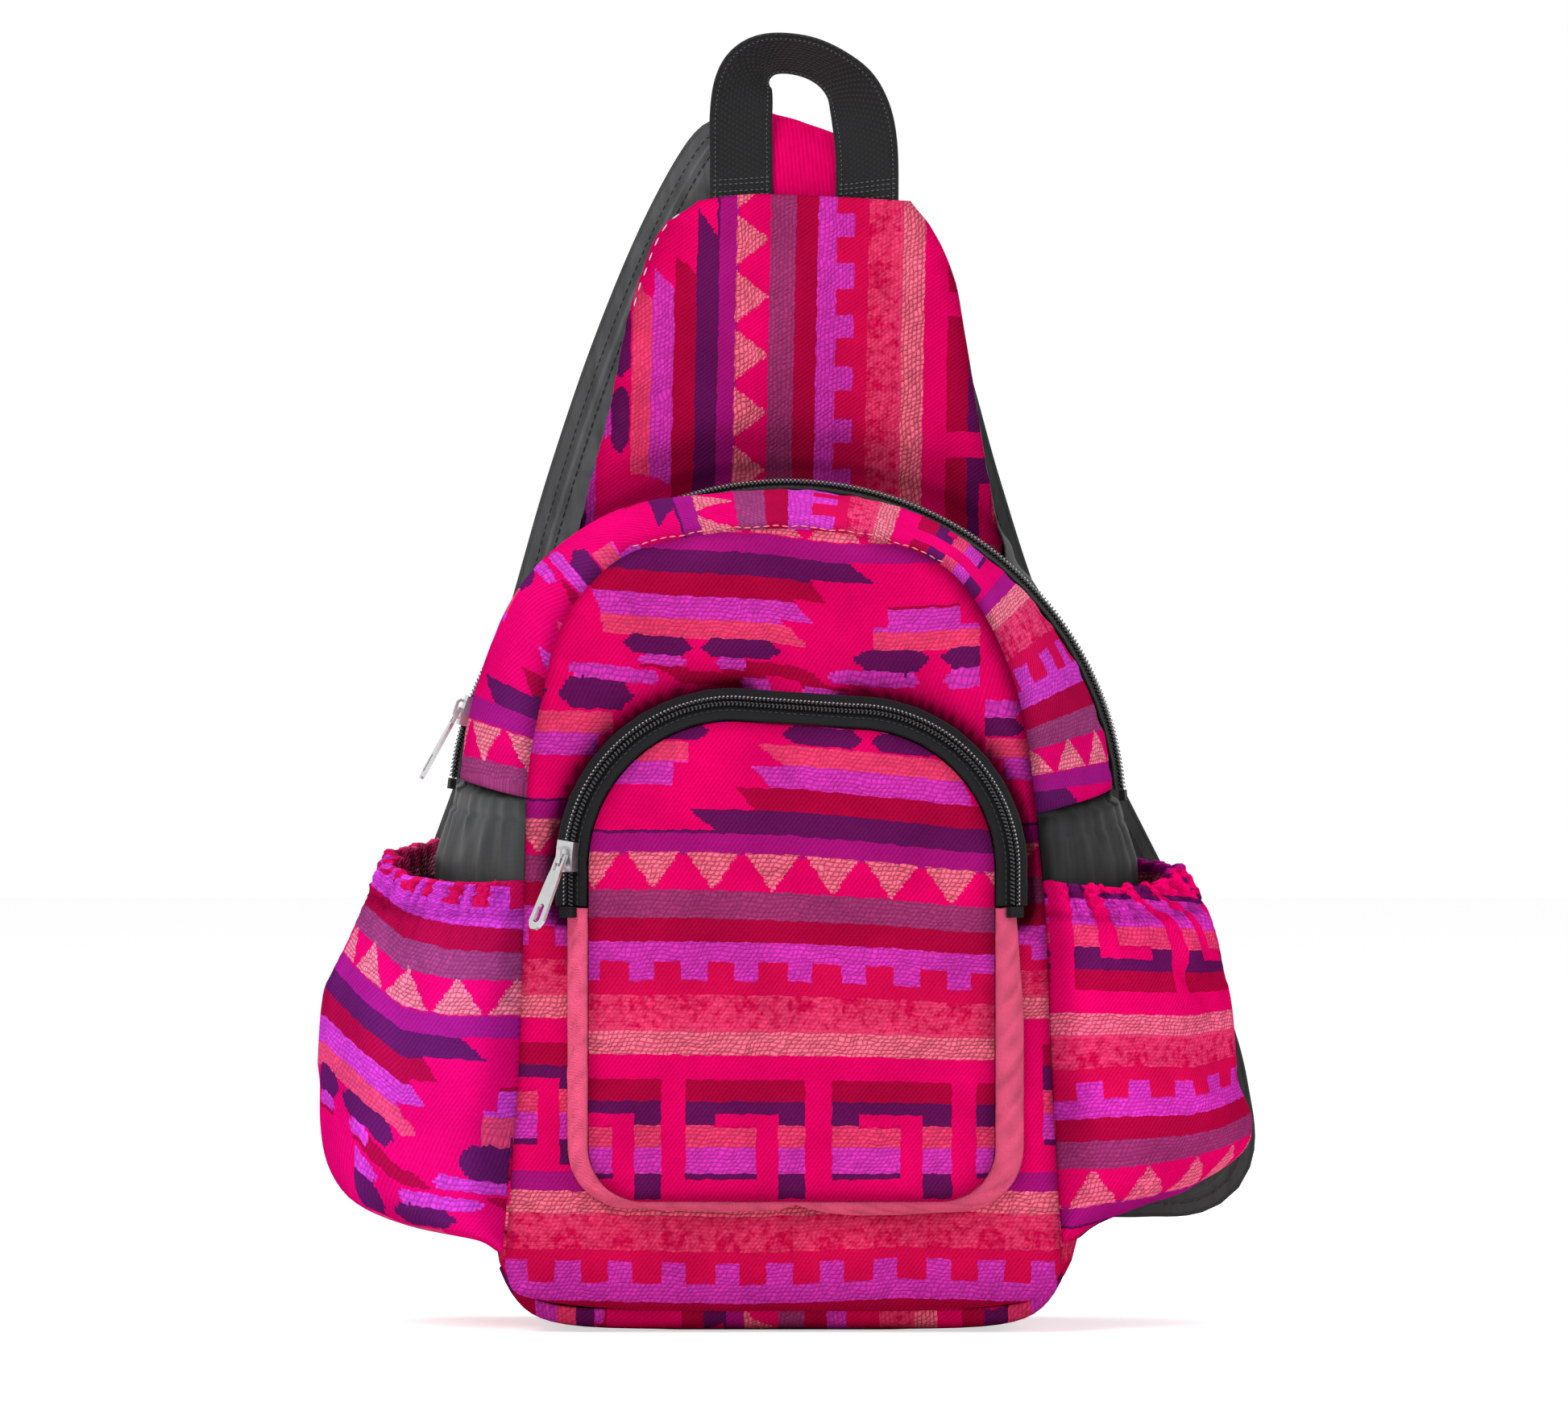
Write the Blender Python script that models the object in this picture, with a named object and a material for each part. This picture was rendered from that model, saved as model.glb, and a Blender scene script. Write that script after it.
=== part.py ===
"""A small teardrop backpack in thick striped weave with black nylon sides.

Metres, +Z up, the front faces -Y. The origin is the centre of the flat
bottom panel. Panels are thin shells round hollow compartments, zips run on
true arcs, and each slider turns about the centre of its arc.
"""

import math

import bmesh
import bpy
from mathutils import Matrix, Vector

MM = 0.001

# Overall layout, in millimetres
BODY_FRONT = -57.0  # plane of the front side seams
BODY_BACK = 62.0  # outer face of the back panel
BACK_SEAM = 57.3  # where the side panels end
SIDE_TOP_RISE = 9.0  # how much higher the side panels end at the back
BOTTOM_HALF_WIDTH = 105.5
BOTTOM_MIDDLE = -2.5
BOTTOM_FRONT = -53.0
BOTTOM_BACK = 57.9
BOTTOM_SIDE_RISE = 23.6  # how far the bottom panel turns up at the sides
BOTTOM_FRONT_RISE = 7.2  # the same at the front and back
BOTTOM_TURN = 15.0  # width of the part that turns up
BOTTOM_SIDE_TURN = 3.6  # how much wider that is at the sides
BOTTOM_TURN_FORWARD = 0.6  # how much of it is taken from the back and given to the front
CLOTH = 1.2  # thickness of one layer of cloth
SEAM = 0.8  # gap between two panels along a seam
CLEAR = 0.3  # gap between pieces that touch
FRONT_DOME = 9.0  # how far the front panel stands out from its seams
FRONT_ROLL = 22.0  # width of the rounded edge of the front panel
PANEL_FOOT = 24.0  # height of the seam between the side panels and the bottom
SIDE_SWELL_FOOT = 4.0  # how far a side panel swells past its seams at the foot
SIDE_SWELL = 25.0  # the same where it is widest
SIDE_SWELL_TOP = 19.0
SIDE_SWELL_HEIGHT = 175.0  # height where it is widest

# Main zip, on a circle round the pouch
MAIN_ARC_X = -1.0
MAIN_ARC_Z = 190.5
MAIN_ARC_RADIUS = 125.0
MAIN_ARC_Y = 4.0
MAIN_ARC_START = 173.0  # degrees, on the left
MAIN_ARC_END = 5.0
MAIN_TILT = 80.0  # slope of the tape from the radius, degrees
MAIN_SLIDER_ANGLE = 161.5
MAIN_TAPE = 8.0  # half width of the whole tape
NECK_CORNER_ANGLE = 50.0  # where the neck seams meet the arc
GUSSET_SWELL = 4.0  # how far the striped gusset swells out between its edges
SHOULDER_SWELL = 11.3  # more of the same at the left shoulder
SHOULDER_ANGLE = 137.0
SHOULDER_SPREAD = 30.0

# Front pocket and its zip, two arcs joined by a straight run
POCKET_LEFT_X = -20.5
POCKET_LEFT_Z = 173.4
POCKET_LEFT_RADIUS = 60.1
POCKET_RIGHT_X = 24.0
POCKET_RIGHT_Z = 172.5
POCKET_RIGHT_RADIUS = 58.0
POCKET_ZIP_FOOT = 159.0  # height where the zip tape ends
POCKET_BOTTOM = 48.0
POCKET_CORNER = 20.0
POCKET_RISE = 6.25  # from the front panel's face out to the middle of the zip
POCKET_TILT = 45.0
POCKET_TAPE = 8.0
POCKET_BAND = 6.4  # from the coil in to the edge of the pocket face
POCKET_LIP = 5.4  # from the middle of the zip out to the edge of the pocket face
POCKET_FLARE = 7.5  # how much wider the pocket is where it meets the front panel
POCKET_FLARE_RIGHT = 3.0  # more of the same at the lower right
POCKET_SLIDER_ANGLE = 176.5

# Zip chain and sliders
TAPE_THICKNESS = 0.8
CHAIN_SLOT = 0.55  # half of the slot where the slider's post runs
COIL_WIDTH = 2.1
COIL_HEIGHT = 1.8
PLATE = 1.2
SLIDER_LENGTH = 11.0
SLIDER_HALF_WIDTH = 4.3
POST_HALF = 0.25
RUNNING = 0.35  # clearance round the chain
BAIL_RISE = 2.9
BAIL_LENGTH = 7.6
BAIL_WIDTH = 1.8
BAIL_BAR = 1.0
PULL_LENGTH = 30.0
PULL_WIDTH = 7.4
PULL_THICKNESS = 1.2
PULL_PIN = 1.2
POCKET_PULL_LEAN = 24.0  # how far the pull stands off its tape at rest, degrees
MAIN_PULL_LEAN = 10.5

# Side pockets
POCKET_GATHERS = 8
GATHER_DEPTH = 1.8
GATHER_REACH = 34.0
POCKET_CLOTH = 1.0
POCKET_OFF = 1.5  # how far the pocket's wall starts off the side panel
POCKET_MARGIN = 0.02  # share of the side left free at each seam
POCKET_RIM = 170.0
HEM = 12.0
RIM_FRONT = -3.0  # how much higher the rim is at the front, and at the back of each pocket
RIM_BACK_LEFT = 13.0
RIM_BACK_RIGHT = 4.0
RIM_DIP = 5.0
HEM_FOLD = 2.6  # from the outer wall to the folded flap, between middles
ELASTIC = 0.8
# How far the pocket swells from the side panel, and the height there
POCKET_SWELL_LEFT = [(0.0, 30.0), (7.0, 33.5), (31.0, 38.0), (48.0, 46.0), (54.5, 58.0), (54.5, 74.0),
                     (50.0, 96.0), (43.0, 124.0), (33.0, 142.0), (25.0, 157.0), (17.5, 170.0)]
POCKET_SWELL_RIGHT = [(0.0, 34.0), (6.0, 39.0), (24.0, 47.0), (41.0, 55.0), (53.0, 66.0), (53.0, 78.0),
                      (44.0, 94.0), (38.0, 118.0), (33.0, 134.0), (27.0, 152.0), (14.0, 170.0)]

# Straps, yoke and handle
STRAP_FOAM = 5.0
STRAP_LINING = 1.0
STRAP_TAPE = 1.0
STRAP_TAPE_WIDTH = 7.0
STRAP_TAPE_DROP = 0.4  # from the strap's front face to its zip tape
STRAP_ROUND = 1.8  # rounding of the foam's edges
TAB_START = 78.0  # the strap tabs, from the middle out
TAB_END = 112.0
TAB_LEFT_FOOT = 46.0
TAB_RIGHT_FOOT = 50.0
WEBBING = 24.0
WEBBING_THICKNESS = 1.6
YOKE_LEFT = -27.0
YOKE_WIDTH = 66.0
YOKE_SLOPE = 0.325
YOKE_LEVEL = -12.0  # the yoke is level from here to its left edge
YOKE_LIFT = 4.35
BACK_FOAM = 5.0
BACK_LINING = 0.8
BACK_EDGE = 3.1  # how far the back panel turns forward at its edge
BACK_SPINE_FOOT = 60.0
BACK_SPINE_TOP = 390.0
BACK_PAD_TOP = 404.0
BACK_PAD_MARGIN = 11.0

# Points on the photographed outlines, in millimetres: across and up
FRONT_ARCH = [
    (-98.0, 198.0), (-96.6, 214.0), (-92.0, 237.0), (-86.5, 259.0), (-77.0, 275.0), (-60.0, 289.5),
    (-33.0, 296.5), (0.0, 298.8), (34.0, 294.5), (57.0, 285.0), (70.5, 270.0), (81.0, 249.0),
    (88.0, 224.0), (92.0, 192.0),
]
FRONT_LEFT = [(-106.0, 24.0), (-103.5, 60.0), (-100.5, 104.0), (-98.6, 173.0), (-98.0, 198.0)]
FRONT_RIGHT = [(92.0, 192.0), (95.5, 150.0), (97.0, 104.0), (99.5, 60.0), (101.0, 24.0)]
FRONT_FOOT = [(101.0, 24.0), (94.0, 13.5), (60.0, 8.6), (0.0, 8.0), (-60.0, 8.6), (-99.0, 13.5), (-106.0, 24.0)]
BACK_SIDE = [(103.0, 24.0), (109.0, 70.0), (114.0, 130.0), (115.0, 180.0), (111.5, 215.0), (103.0, 245.0),
             (91.0, 274.0), (82.0, 298.0)]
BACK_FOOT = [(-103.0, 24.0), (-96.0, 13.5), (-60.0, 8.6), (60.0, 8.6), (96.0, 13.5), (103.0, 24.0)]
NECK_LEFT = [(-80.0, 304.0), (-75.5, 322.0), (-69.5, 345.0), (-62.5, 380.0), (-56.5, 399.0), (-49.0, 415.0),
             (-35.0, 425.5)]
NECK_RIGHT = [(79.5, 304.0), (75.5, 325.0), (71.5, 350.0), (67.0, 377.0), (63.6, 395.0), (56.5, 412.0),
              (46.5, 425.0)]
NECK_SEAM = 53.0  # depth of the neck's side seams
NECK_TOP = 50.5  # depth of its top edge
NECK_SWELL = 11.0  # how far the neck swells forward in its middle
STRAP_LEFT = [(-17.0, 449.0), (-24.0, 438.0), (-37.0, 405.0), (-50.0, 362.0), (-66.0, 312.0), (-80.5, 262.0),
              (-99.0, 205.0), (-121.0, 150.0), (-136.0, 106.0), (-143.0, 77.0), (-138.0, 60.0), (-120.0, 53.0),
              (-102.0, 52.0)]
STRAP_RIGHT = [(12.0, 440.0), (17.0, 429.5), (27.0, 405.0), (40.0, 362.0), (53.5, 312.0), (70.0, 262.0),
               (96.0, 205.0), (126.0, 150.0), (147.0, 110.0), (156.0, 84.0), (155.0, 62.0), (135.0, 57.0),
               (104.0, 57.0)]
STRAP_DEPTHS = [61.0, 63.2, 70.0, 79.0, 86.0, 90.0, 90.5, 86.0, 79.0, 72.0, 67.0, 64.8, 64.6]
STRAP_WIDTHS = [28.0, 37.0, 46.0, 55.0, 57.0, 57.0, 55.0, 50.0, 44.0, 40.0, 43.0, 39.0, 38.0]

# Back and up along the yoke's fold
YOKE_FOLD = [(53.8, 419.0), (54.0, 440.0), (57.0, 449.0), (63.5, 453.0), (70.5, 449.0), (73.6, 440.0),
             (75.2, 431.0)]
# Across, back and up along the middle of the handle, and how far it is turned there
HANDLE_PATH = [
    (-18.4, 52.2, 421.0), (-18.4, 52.2, 440.0), (-18.4, 51.0, 459.0), (-16.2, 51.0, 473.5), (-7.6, 52.5, 480.8),
    (6.2, 53.5, 480.2), (18.0, 53.5, 474.0), (25.5, 52.6, 463.5), (29.2, 52.2, 446.0), (29.6, 52.2, 418.0),
]
HANDLE_TURNS = [0.0, 0.0, 6.0, 32.0, 52.0, 54.0, 48.0, 26.0, 2.0, 0.0]

COLOURS = {
    "weave": ((0.83, 0.01, 0.14), 0.85),
    "coral_cloth": ((0.95, 0.08, 0.12), 0.8),
    "nylon": ((0.045, 0.047, 0.047), 0.55),
    "webbing": ((0.02, 0.02, 0.02), 0.8),
    "foam": ((0.7, 0.7, 0.68), 0.9),
    "elastic": ((0.85, 0.85, 0.85), 0.8),
    "coil": ((0.015, 0.015, 0.015), 0.35),
}


def material(kind):
    """The material of this kind, made once."""
    found = bpy.data.materials.get(kind)
    if found:
        return found
    made = bpy.data.materials.new(kind)
    made.use_nodes = True
    shader = made.node_tree.nodes["Principled BSDF"]
    if kind == "metal":
        shader.inputs["Base Color"].default_value = (0.72, 0.72, 0.73, 1.0)
        shader.inputs["Roughness"].default_value = 0.25
        shader.inputs["Metallic"].default_value = 1.0
    else:
        colour, roughness = COLOURS[kind]
        shader.inputs["Base Color"].default_value = (*colour, 1.0)
        shader.inputs["Roughness"].default_value = roughness
    return made


def lerp(a, b, t):
    return a + (b - a) * t


def smooth_through(points, count):
    """Count points spread evenly along a smooth curve through the given ones."""
    points = [Vector(p) for p in points]
    ends = [2 * points[0] - points[1], *points, 2 * points[-1] - points[-2]]
    dense = []
    steps = 16
    for i in range(1, len(ends) - 2):
        before, a, b, after = ends[i - 1], ends[i], ends[i + 1], ends[i + 2]
        for k in range(steps):
            t = k / steps
            dense.append(
                0.5 * (2 * a + (b - before) * t + (2 * before - 5 * a + 4 * b - after) * t**2
                       + (3 * a - before - 3 * b + after) * t**3)
            )
    dense.append(points[-1])
    return evenly(dense, count)


def evenly(dense, count):
    """Count points at equal distances along a chain of points."""
    lengths = [0.0]
    for a, b in zip(dense, dense[1:]):
        lengths.append(lengths[-1] + (b - a).length)
    out = []
    j = 0
    for k in range(count):
        want = lengths[-1] * k / (count - 1)
        while j < len(dense) - 2 and lengths[j + 1] < want:
            j += 1
        span = lengths[j + 1] - lengths[j]
        out.append(dense[j].lerp(dense[j + 1], (want - lengths[j]) / span if span else 0.0))
    return out


def trimmed(points, start, end):
    """A chain of points with a length cut off each end."""
    lengths = [0.0]
    for a, b in zip(points, points[1:]):
        lengths.append(lengths[-1] + (b - a).length)

    def at(want):
        for j in range(len(points) - 1):
            if lengths[j + 1] >= want:
                break
        return points[j].lerp(points[j + 1], (want - lengths[j]) / (lengths[j + 1] - lengths[j]))

    total = lengths[-1]
    count = len(points)
    return [at(start + (total - start - end) * k / (count - 1)) for k in range(count)]


def finish(name, mesh, kind):
    """An object of this mesh, scaled from millimetres, smooth with sharp edges kept."""
    mesh.transform(Matrix.Scale(MM, 4))
    mesh.materials.append(material(kind))
    mesh.shade_smooth()
    mesh.set_sharp_from_angle(angle=math.radians(40))
    obj = bpy.data.objects.new(name, mesh)
    bpy.context.scene.collection.objects.link(obj)
    return obj


def sheet(name, rows, kind, inside, thickness=CLOTH, closed=False, capped=False):
    """A layer of cloth whose outer face is a grid of points, thickened towards a point inside."""
    bm = bmesh.new()
    grid = [[bm.verts.new(p) for p in row] for row in rows]
    across = len(rows[0])
    for low, high in zip(grid, grid[1:]):
        for j in range(across if closed else across - 1):
            k = (j + 1) % across
            bm.faces.new((low[j], low[k], high[k], high[j]))
    if capped:
        bm.faces.new(grid[-1])
    bmesh.ops.recalc_face_normals(bm, faces=bm.faces)
    bm.normal_update()
    facing = sum(f.normal.dot(f.calc_center_median() - Vector(inside)) * f.calc_area() for f in bm.faces)
    if facing < 0:
        bmesh.ops.reverse_faces(bm, faces=bm.faces)
    mesh = bpy.data.meshes.new(name)
    bm.to_mesh(mesh)
    bm.free()
    obj = finish(name, mesh, kind)
    solid = obj.modifiers.new("thickness", "SOLIDIFY")
    solid.thickness = thickness * MM
    solid.offset = -1.0
    solid.use_even_offset = False
    return obj


def solid_mesh(name, sections):
    """A closed mesh in millimetres through a run of closed sections with the same number of points."""
    bm = bmesh.new()
    loops = [[bm.verts.new(p) for p in section] for section in sections]
    count = len(sections[0])
    for a, b in zip(loops, loops[1:]):
        for j in range(count):
            k = (j + 1) % count
            bm.faces.new((a[j], a[k], b[k], b[j]))
    bm.faces.new(list(reversed(loops[0])))
    bm.faces.new(loops[-1])
    bmesh.ops.recalc_face_normals(bm, faces=bm.faces)
    mesh = bpy.data.meshes.new(name)
    bm.to_mesh(mesh)
    bm.free()
    return mesh


def tube(name, sections, kind):
    """A piece of the object made of a run of closed sections."""
    return finish(name, solid_mesh(name, sections), kind)


def combined(mesh, other, operation):
    """The first mesh joined with the second, or cut by it."""
    pair = []
    for each in (mesh, other):
        obj = bpy.data.objects.new("scratch", each)
        bpy.context.scene.collection.objects.link(obj)
        pair.append(obj)
    step = pair[0].modifiers.new("step", "BOOLEAN")
    step.operation = operation
    step.solver = "EXACT"
    step.object = pair[1]
    bpy.context.view_layer.update()
    result = bpy.data.meshes.new_from_object(pair[0].evaluated_get(bpy.context.evaluated_depsgraph_get()))
    for obj in pair:
        data = obj.data
        bpy.data.objects.remove(obj)
        bpy.data.meshes.remove(data)
    return result


def side_name(sign):
    return "left" if sign < 0 else "right"


# Zip tracks: a station is a point across and up, with the direction out of the arch


def arc(x, z, radius, start, end, step=4.5):
    """Stations along an arc, from one angle to another in degrees."""
    count = max(2, round(abs(end - start) / step))
    out = []
    for k in range(count + 1):
        a = math.radians(lerp(start, end, k / count))
        normal = Vector((math.cos(a), math.sin(a)))
        out.append((Vector((x, z)) + normal * radius, normal))
    return out


def main_track(start=MAIN_ARC_START, end=MAIN_ARC_END):
    return arc(MAIN_ARC_X, MAIN_ARC_Z, MAIN_ARC_RADIUS, start, end)


def pocket_track():
    """The pocket zip: up the left side, round both shoulders and down the right side."""
    left_foot = Vector((POCKET_LEFT_X - POCKET_LEFT_RADIUS, POCKET_ZIP_FOOT))
    right_foot = Vector((POCKET_RIGHT_X + POCKET_RIGHT_RADIUS, POCKET_ZIP_FOOT))
    left = arc(POCKET_LEFT_X, POCKET_LEFT_Z, POCKET_LEFT_RADIUS, 180, 90, 6.0)
    right = arc(POCKET_RIGHT_X, POCKET_RIGHT_Z, POCKET_RIGHT_RADIUS, 90, 0, 6.0)
    return [(left_foot, Vector((-1, 0))), *left, *right, (right_foot, Vector((1, 0)))]


def profile(points, tilt, depth):
    """Points given across and above a tape, turned to its slope: out of the arch and back."""
    a = math.radians(tilt)
    return [
        (across * math.cos(a) + above * math.sin(a), depth + across * math.sin(a) - above * math.cos(a))
        for across, above in points
    ]


def along(track, section):
    """Sections of a profile set along a track."""
    return [
        [Vector((p.x + n.x * out, back, p.y + n.y * out)) for out, back in section] for p, n in track
    ]


def box(a0, a1, h0, h1):
    return [(a0, h0), (a1, h0), (a1, h1), (a0, h1)]


def zip_chain(prefix, track, tilt, depth, half, names):
    """Two tapes, each with its half of the coil on it."""
    top = TAPE_THICKNESS / 2
    for side, name in zip((-1, 1), names):
        tape = box(side * CHAIN_SLOT, side * half, -top, top)
        coil = box(side * CHAIN_SLOT, side * (CHAIN_SLOT + COIL_WIDTH), top + CLEAR, top + CLEAR + COIL_HEIGHT)
        tube(f"{prefix}_tape_{name}", along(track, profile(tape, tilt, depth)), "nylon")
        tube(f"{prefix}_coil_{name}", along(track, profile(coil, tilt, depth)), "coil")


def slider_section():
    """A slider's section: two plates, the post between them and the flanges beside the coil."""
    top = TAPE_THICKNESS / 2
    coil_top = top + CLEAR + COIL_HEIGHT
    under = coil_top + RUNNING
    coil_side = CHAIN_SLOT + COIL_WIDTH + RUNNING
    flange_foot = top + RUNNING
    below = -top - RUNNING
    half = [
        (POST_HALF, below), (SLIDER_HALF_WIDTH - 0.4, below), (SLIDER_HALF_WIDTH - 0.4, below - PLATE),
    ]
    upper = [
        (SLIDER_HALF_WIDTH, under + PLATE), (SLIDER_HALF_WIDTH, flange_foot), (coil_side, flange_foot),
        (coil_side, under), (POST_HALF, under),
    ]
    right = [*upper, *half]
    return [*right, *[(-x, h) for x, h in reversed(right)]], under + PLATE


def zip_slider(name, x, z, radius, angle, tilt, depth):
    """A slider round the chain, with its bail; returns the frame of the pull's pin."""
    section, top = slider_section()
    half = math.degrees(SLIDER_LENGTH / 2 / radius)
    stations = arc(x, z, radius, angle - half, angle + half, 2.0)
    body = solid_mesh(name, along(stations, profile(section, tilt, depth)))
    a = math.radians(angle)
    out = Vector((math.cos(a), 0, math.sin(a)))
    run = Vector((math.sin(a), 0, -math.cos(a)))  # along the track, clockwise seen from the front
    slope = math.radians(tilt)
    across = out * math.cos(slope) + Vector((0, math.sin(slope), 0))
    up = out * math.sin(slope) - Vector((0, math.cos(slope), 0))
    centre = Vector((x, 0, z)) + out * radius + Vector((0, depth, 0))
    bail = []
    reach = BAIL_LENGTH / 2
    rise = top + BAIL_RISE
    outer = [(-reach, top - 0.6), (-reach, rise - 1.2), (-reach + 1.2, rise), (reach - 1.2, rise),
             (reach, rise - 1.2), (reach, top - 0.6)]
    inner = [(reach - BAIL_BAR, top - 0.6), (reach - BAIL_BAR, rise - 1.4), (reach - 1.6, rise - BAIL_BAR),
             (-reach + 1.6, rise - BAIL_BAR), (-reach + BAIL_BAR, rise - 1.4), (-reach + BAIL_BAR, top - 0.6)]
    for side in (-BAIL_WIDTH / 2, BAIL_WIDTH / 2):
        bail.append([centre + run * s + up * h + across * side for s, h in [*outer, *inner]])
    finish(name, combined(body, solid_mesh("bail", bail), "UNION"), "metal")
    pin = centre + up * (top + (BAIL_RISE - BAIL_BAR) / 2)
    return pin, run, across, up


def zip_pull(name, lean_degrees, pin, run, across, up):
    """A flat pull with a slot near its end, hung by a pin through the bail."""
    lean = math.radians(lean_degrees)
    down = -run * math.cos(lean) + up * math.sin(lean)
    out = run * math.sin(lean) + up * math.cos(lean)
    half = PULL_WIDTH / 2
    thick = PULL_THICKNESS / 2
    neck = 2.6
    outline = [
        (-neck, -PULL_PIN / 2), (-neck, 6.0), (-half * 0.8, 8.5), (-half, PULL_LENGTH - 3.5),
        (-half + 1.2, PULL_LENGTH - 1.0), (-half + 2.6, PULL_LENGTH), (half - 2.6, PULL_LENGTH),
        (half - 1.2, PULL_LENGTH - 1.0), (half, PULL_LENGTH - 3.5), (half * 0.8, 8.5), (neck, 6.0),
        (neck, -PULL_PIN / 2),
    ]

    def layers(points, low, high):
        return [[pin + across * w + down * s + out * h for w, s in points] for h in (low, high)]

    body = solid_mesh(name, layers(outline, -thick, thick))
    window = box(1.2 - neck, neck - 1.2, PULL_PIN / 2, 6.0)
    slot = []
    for k in range(10):
        t = math.radians(k * 36 + 18)
        reach = 2.2 if math.sin(t) > 0 else -2.2
        slot.append((1.6 * math.cos(t), PULL_LENGTH - 6.5 + reach + 1.6 * math.sin(t)))
    for points in (window, slot):
        body = combined(body, solid_mesh("cutter", layers(points, -thick * 3, thick * 3)), "DIFFERENCE")
    finish(name, body, "metal")


# Body panels


def front_outline(count_arch=22, count_side=6, count_foot=10):
    """The front panel's edge as one closed loop across and up, held back by half a seam."""
    parts = [
        smooth_through(FRONT_ARCH, count_arch),
        smooth_through(FRONT_RIGHT, count_side),
        smooth_through(FRONT_FOOT, count_foot),
        smooth_through(FRONT_LEFT, count_side),
    ]
    loop = []
    for part in parts:
        loop.extend(part[:-1])
    return loop


def edge_depth(z):
    """Depth of the front seam, which turns back near the bottom."""
    low = max(0.0, 1.0 - (z - 8.0) / 34.0)
    return BODY_FRONT + 3.0 * low * low


def front_spine(p):
    """The point of the front panel's middle line that an edge point is drawn to."""
    return Vector((p.x * 0.3, min(max(p.y * 0.55 + 66.0, 70.0), 215.0)))


def build_front_panel():
    steps = [0.4, 2.5, 7.0, 13.0, FRONT_ROLL]
    rows = []
    for step in steps:
        row = []
        for p in front_outline():
            middle = front_spine(p)
            at = p + (middle - p).normalized() * step
            t = 1.0 - (step - steps[0]) / (FRONT_ROLL - steps[0])
            height = FRONT_DOME * math.sqrt(max(0.0, 1.0 - t * t))
            row.append(Vector((at.x, lerp(edge_depth(p.y), BODY_FRONT, 1 - t) - height, at.y)))
        rows.append(row)
    sheet("front_panel", rows, "weave", (0, 0, 150), closed=True, capped=True)


def main_arc_point(angle, out, back):
    a = math.radians(angle)
    return Vector((MAIN_ARC_X + math.cos(a) * out, back, MAIN_ARC_Z + math.sin(a) * out))


def arc_radius(across):
    """Radius and depth of a line beside the main zip's middle."""
    out, back = profile([(across, 0.0)], MAIN_TILT, MAIN_ARC_Y)[0]
    return MAIN_ARC_RADIUS + out, back


def build_main_gusset():
    count = 30
    front = trimmed(smooth_through(FRONT_ARCH, count), SEAM, SEAM)
    radius, back = arc_radius(-MAIN_TAPE - CLEAR)
    gap = math.degrees(SEAM / radius)
    rows = []
    across = [0.0, 0.12, 0.3, 0.5, 0.7, 0.88, 1.0]
    for k, p in enumerate(front):
        angle = lerp(MAIN_ARC_START - gap, MAIN_ARC_END + gap, k / (count - 1))
        end = main_arc_point(angle, radius, back)
        start = Vector((p.x, edge_depth(p.y) + SEAM, p.y))
        outward = Vector((math.cos(math.radians(angle)), -0.25, math.sin(math.radians(angle))))
        swell = GUSSET_SWELL + SHOULDER_SWELL * math.exp(-(((angle - SHOULDER_ANGLE) / SHOULDER_SPREAD) ** 2))
        rows.append([start.lerp(end, t) + outward * swell * math.sin(math.pi * t) for t in across])
    sheet("main_gusset", rows, "weave", (0, 0, 190))


def side_bulge(z):
    """How far the side panel swells past the line between its seams."""
    if z > SIDE_SWELL_HEIGHT:
        return lerp(SIDE_SWELL, SIDE_SWELL_TOP, min(1.0, (z - SIDE_SWELL_HEIGHT) / 25.0))
    share = max(0.0, z - PANEL_FOOT) / (SIDE_SWELL_HEIGHT - PANEL_FOOT)
    return lerp(SIDE_SWELL_FOOT, SIDE_SWELL, math.sin(math.pi / 2 * share))


def at_height(points, z):
    """The point of a rising chain at a height."""
    for a, b in zip(points, points[1:]):
        if b.y >= z:
            return a.lerp(b, (z - a.y) / (b.y - a.y))
    return points[-1]


def side_seams(sign):
    """The front and the back seam of a side, across and up, from the bottom."""
    front = FRONT_LEFT if sign < 0 else list(reversed(FRONT_RIGHT))
    return smooth_through(front, 40), smooth_through([(sign * x, z) for x, z in BACK_SIDE], 60)


def side_surface(sign, t, z, seams):
    """A point on the outer face of the side panel, t from front to back."""
    front, back = (at_height(chain, z) for chain in seams)
    across = lerp(front.x, back.x, t) + sign * side_bulge(z) * math.sin(math.pi * t) ** 0.8
    return Vector((across, lerp(edge_depth(z) + SEAM, BACK_SEAM, t), z))


def build_side_panel(sign):
    """Black nylon from the front seam round to the back, up to the end of the gusset."""
    seams = side_seams(sign)
    low = PANEL_FOOT + SEAM
    top = seams[0][-1].y - SEAM
    rows_up = 11
    shares = [0.0, 0.06, 0.16, 0.3, 0.44, 0.56, 0.7, 0.84, 0.94, 1.0]
    rows = []
    for k in range(rows_up):
        share = k / (rows_up - 1)
        rows.append([side_surface(sign, t, lerp(low, top + SIDE_TOP_RISE * t, share), seams) for t in shares])
    sheet(f"side_panel_{side_name(sign)}", rows, "nylon", (0, 0, 110))


def neck_angle(sign):
    """Where on the main arc the neck's lower corner is, in degrees."""
    return 90.0 - sign * (90.0 - NECK_CORNER_ANGLE)


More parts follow.
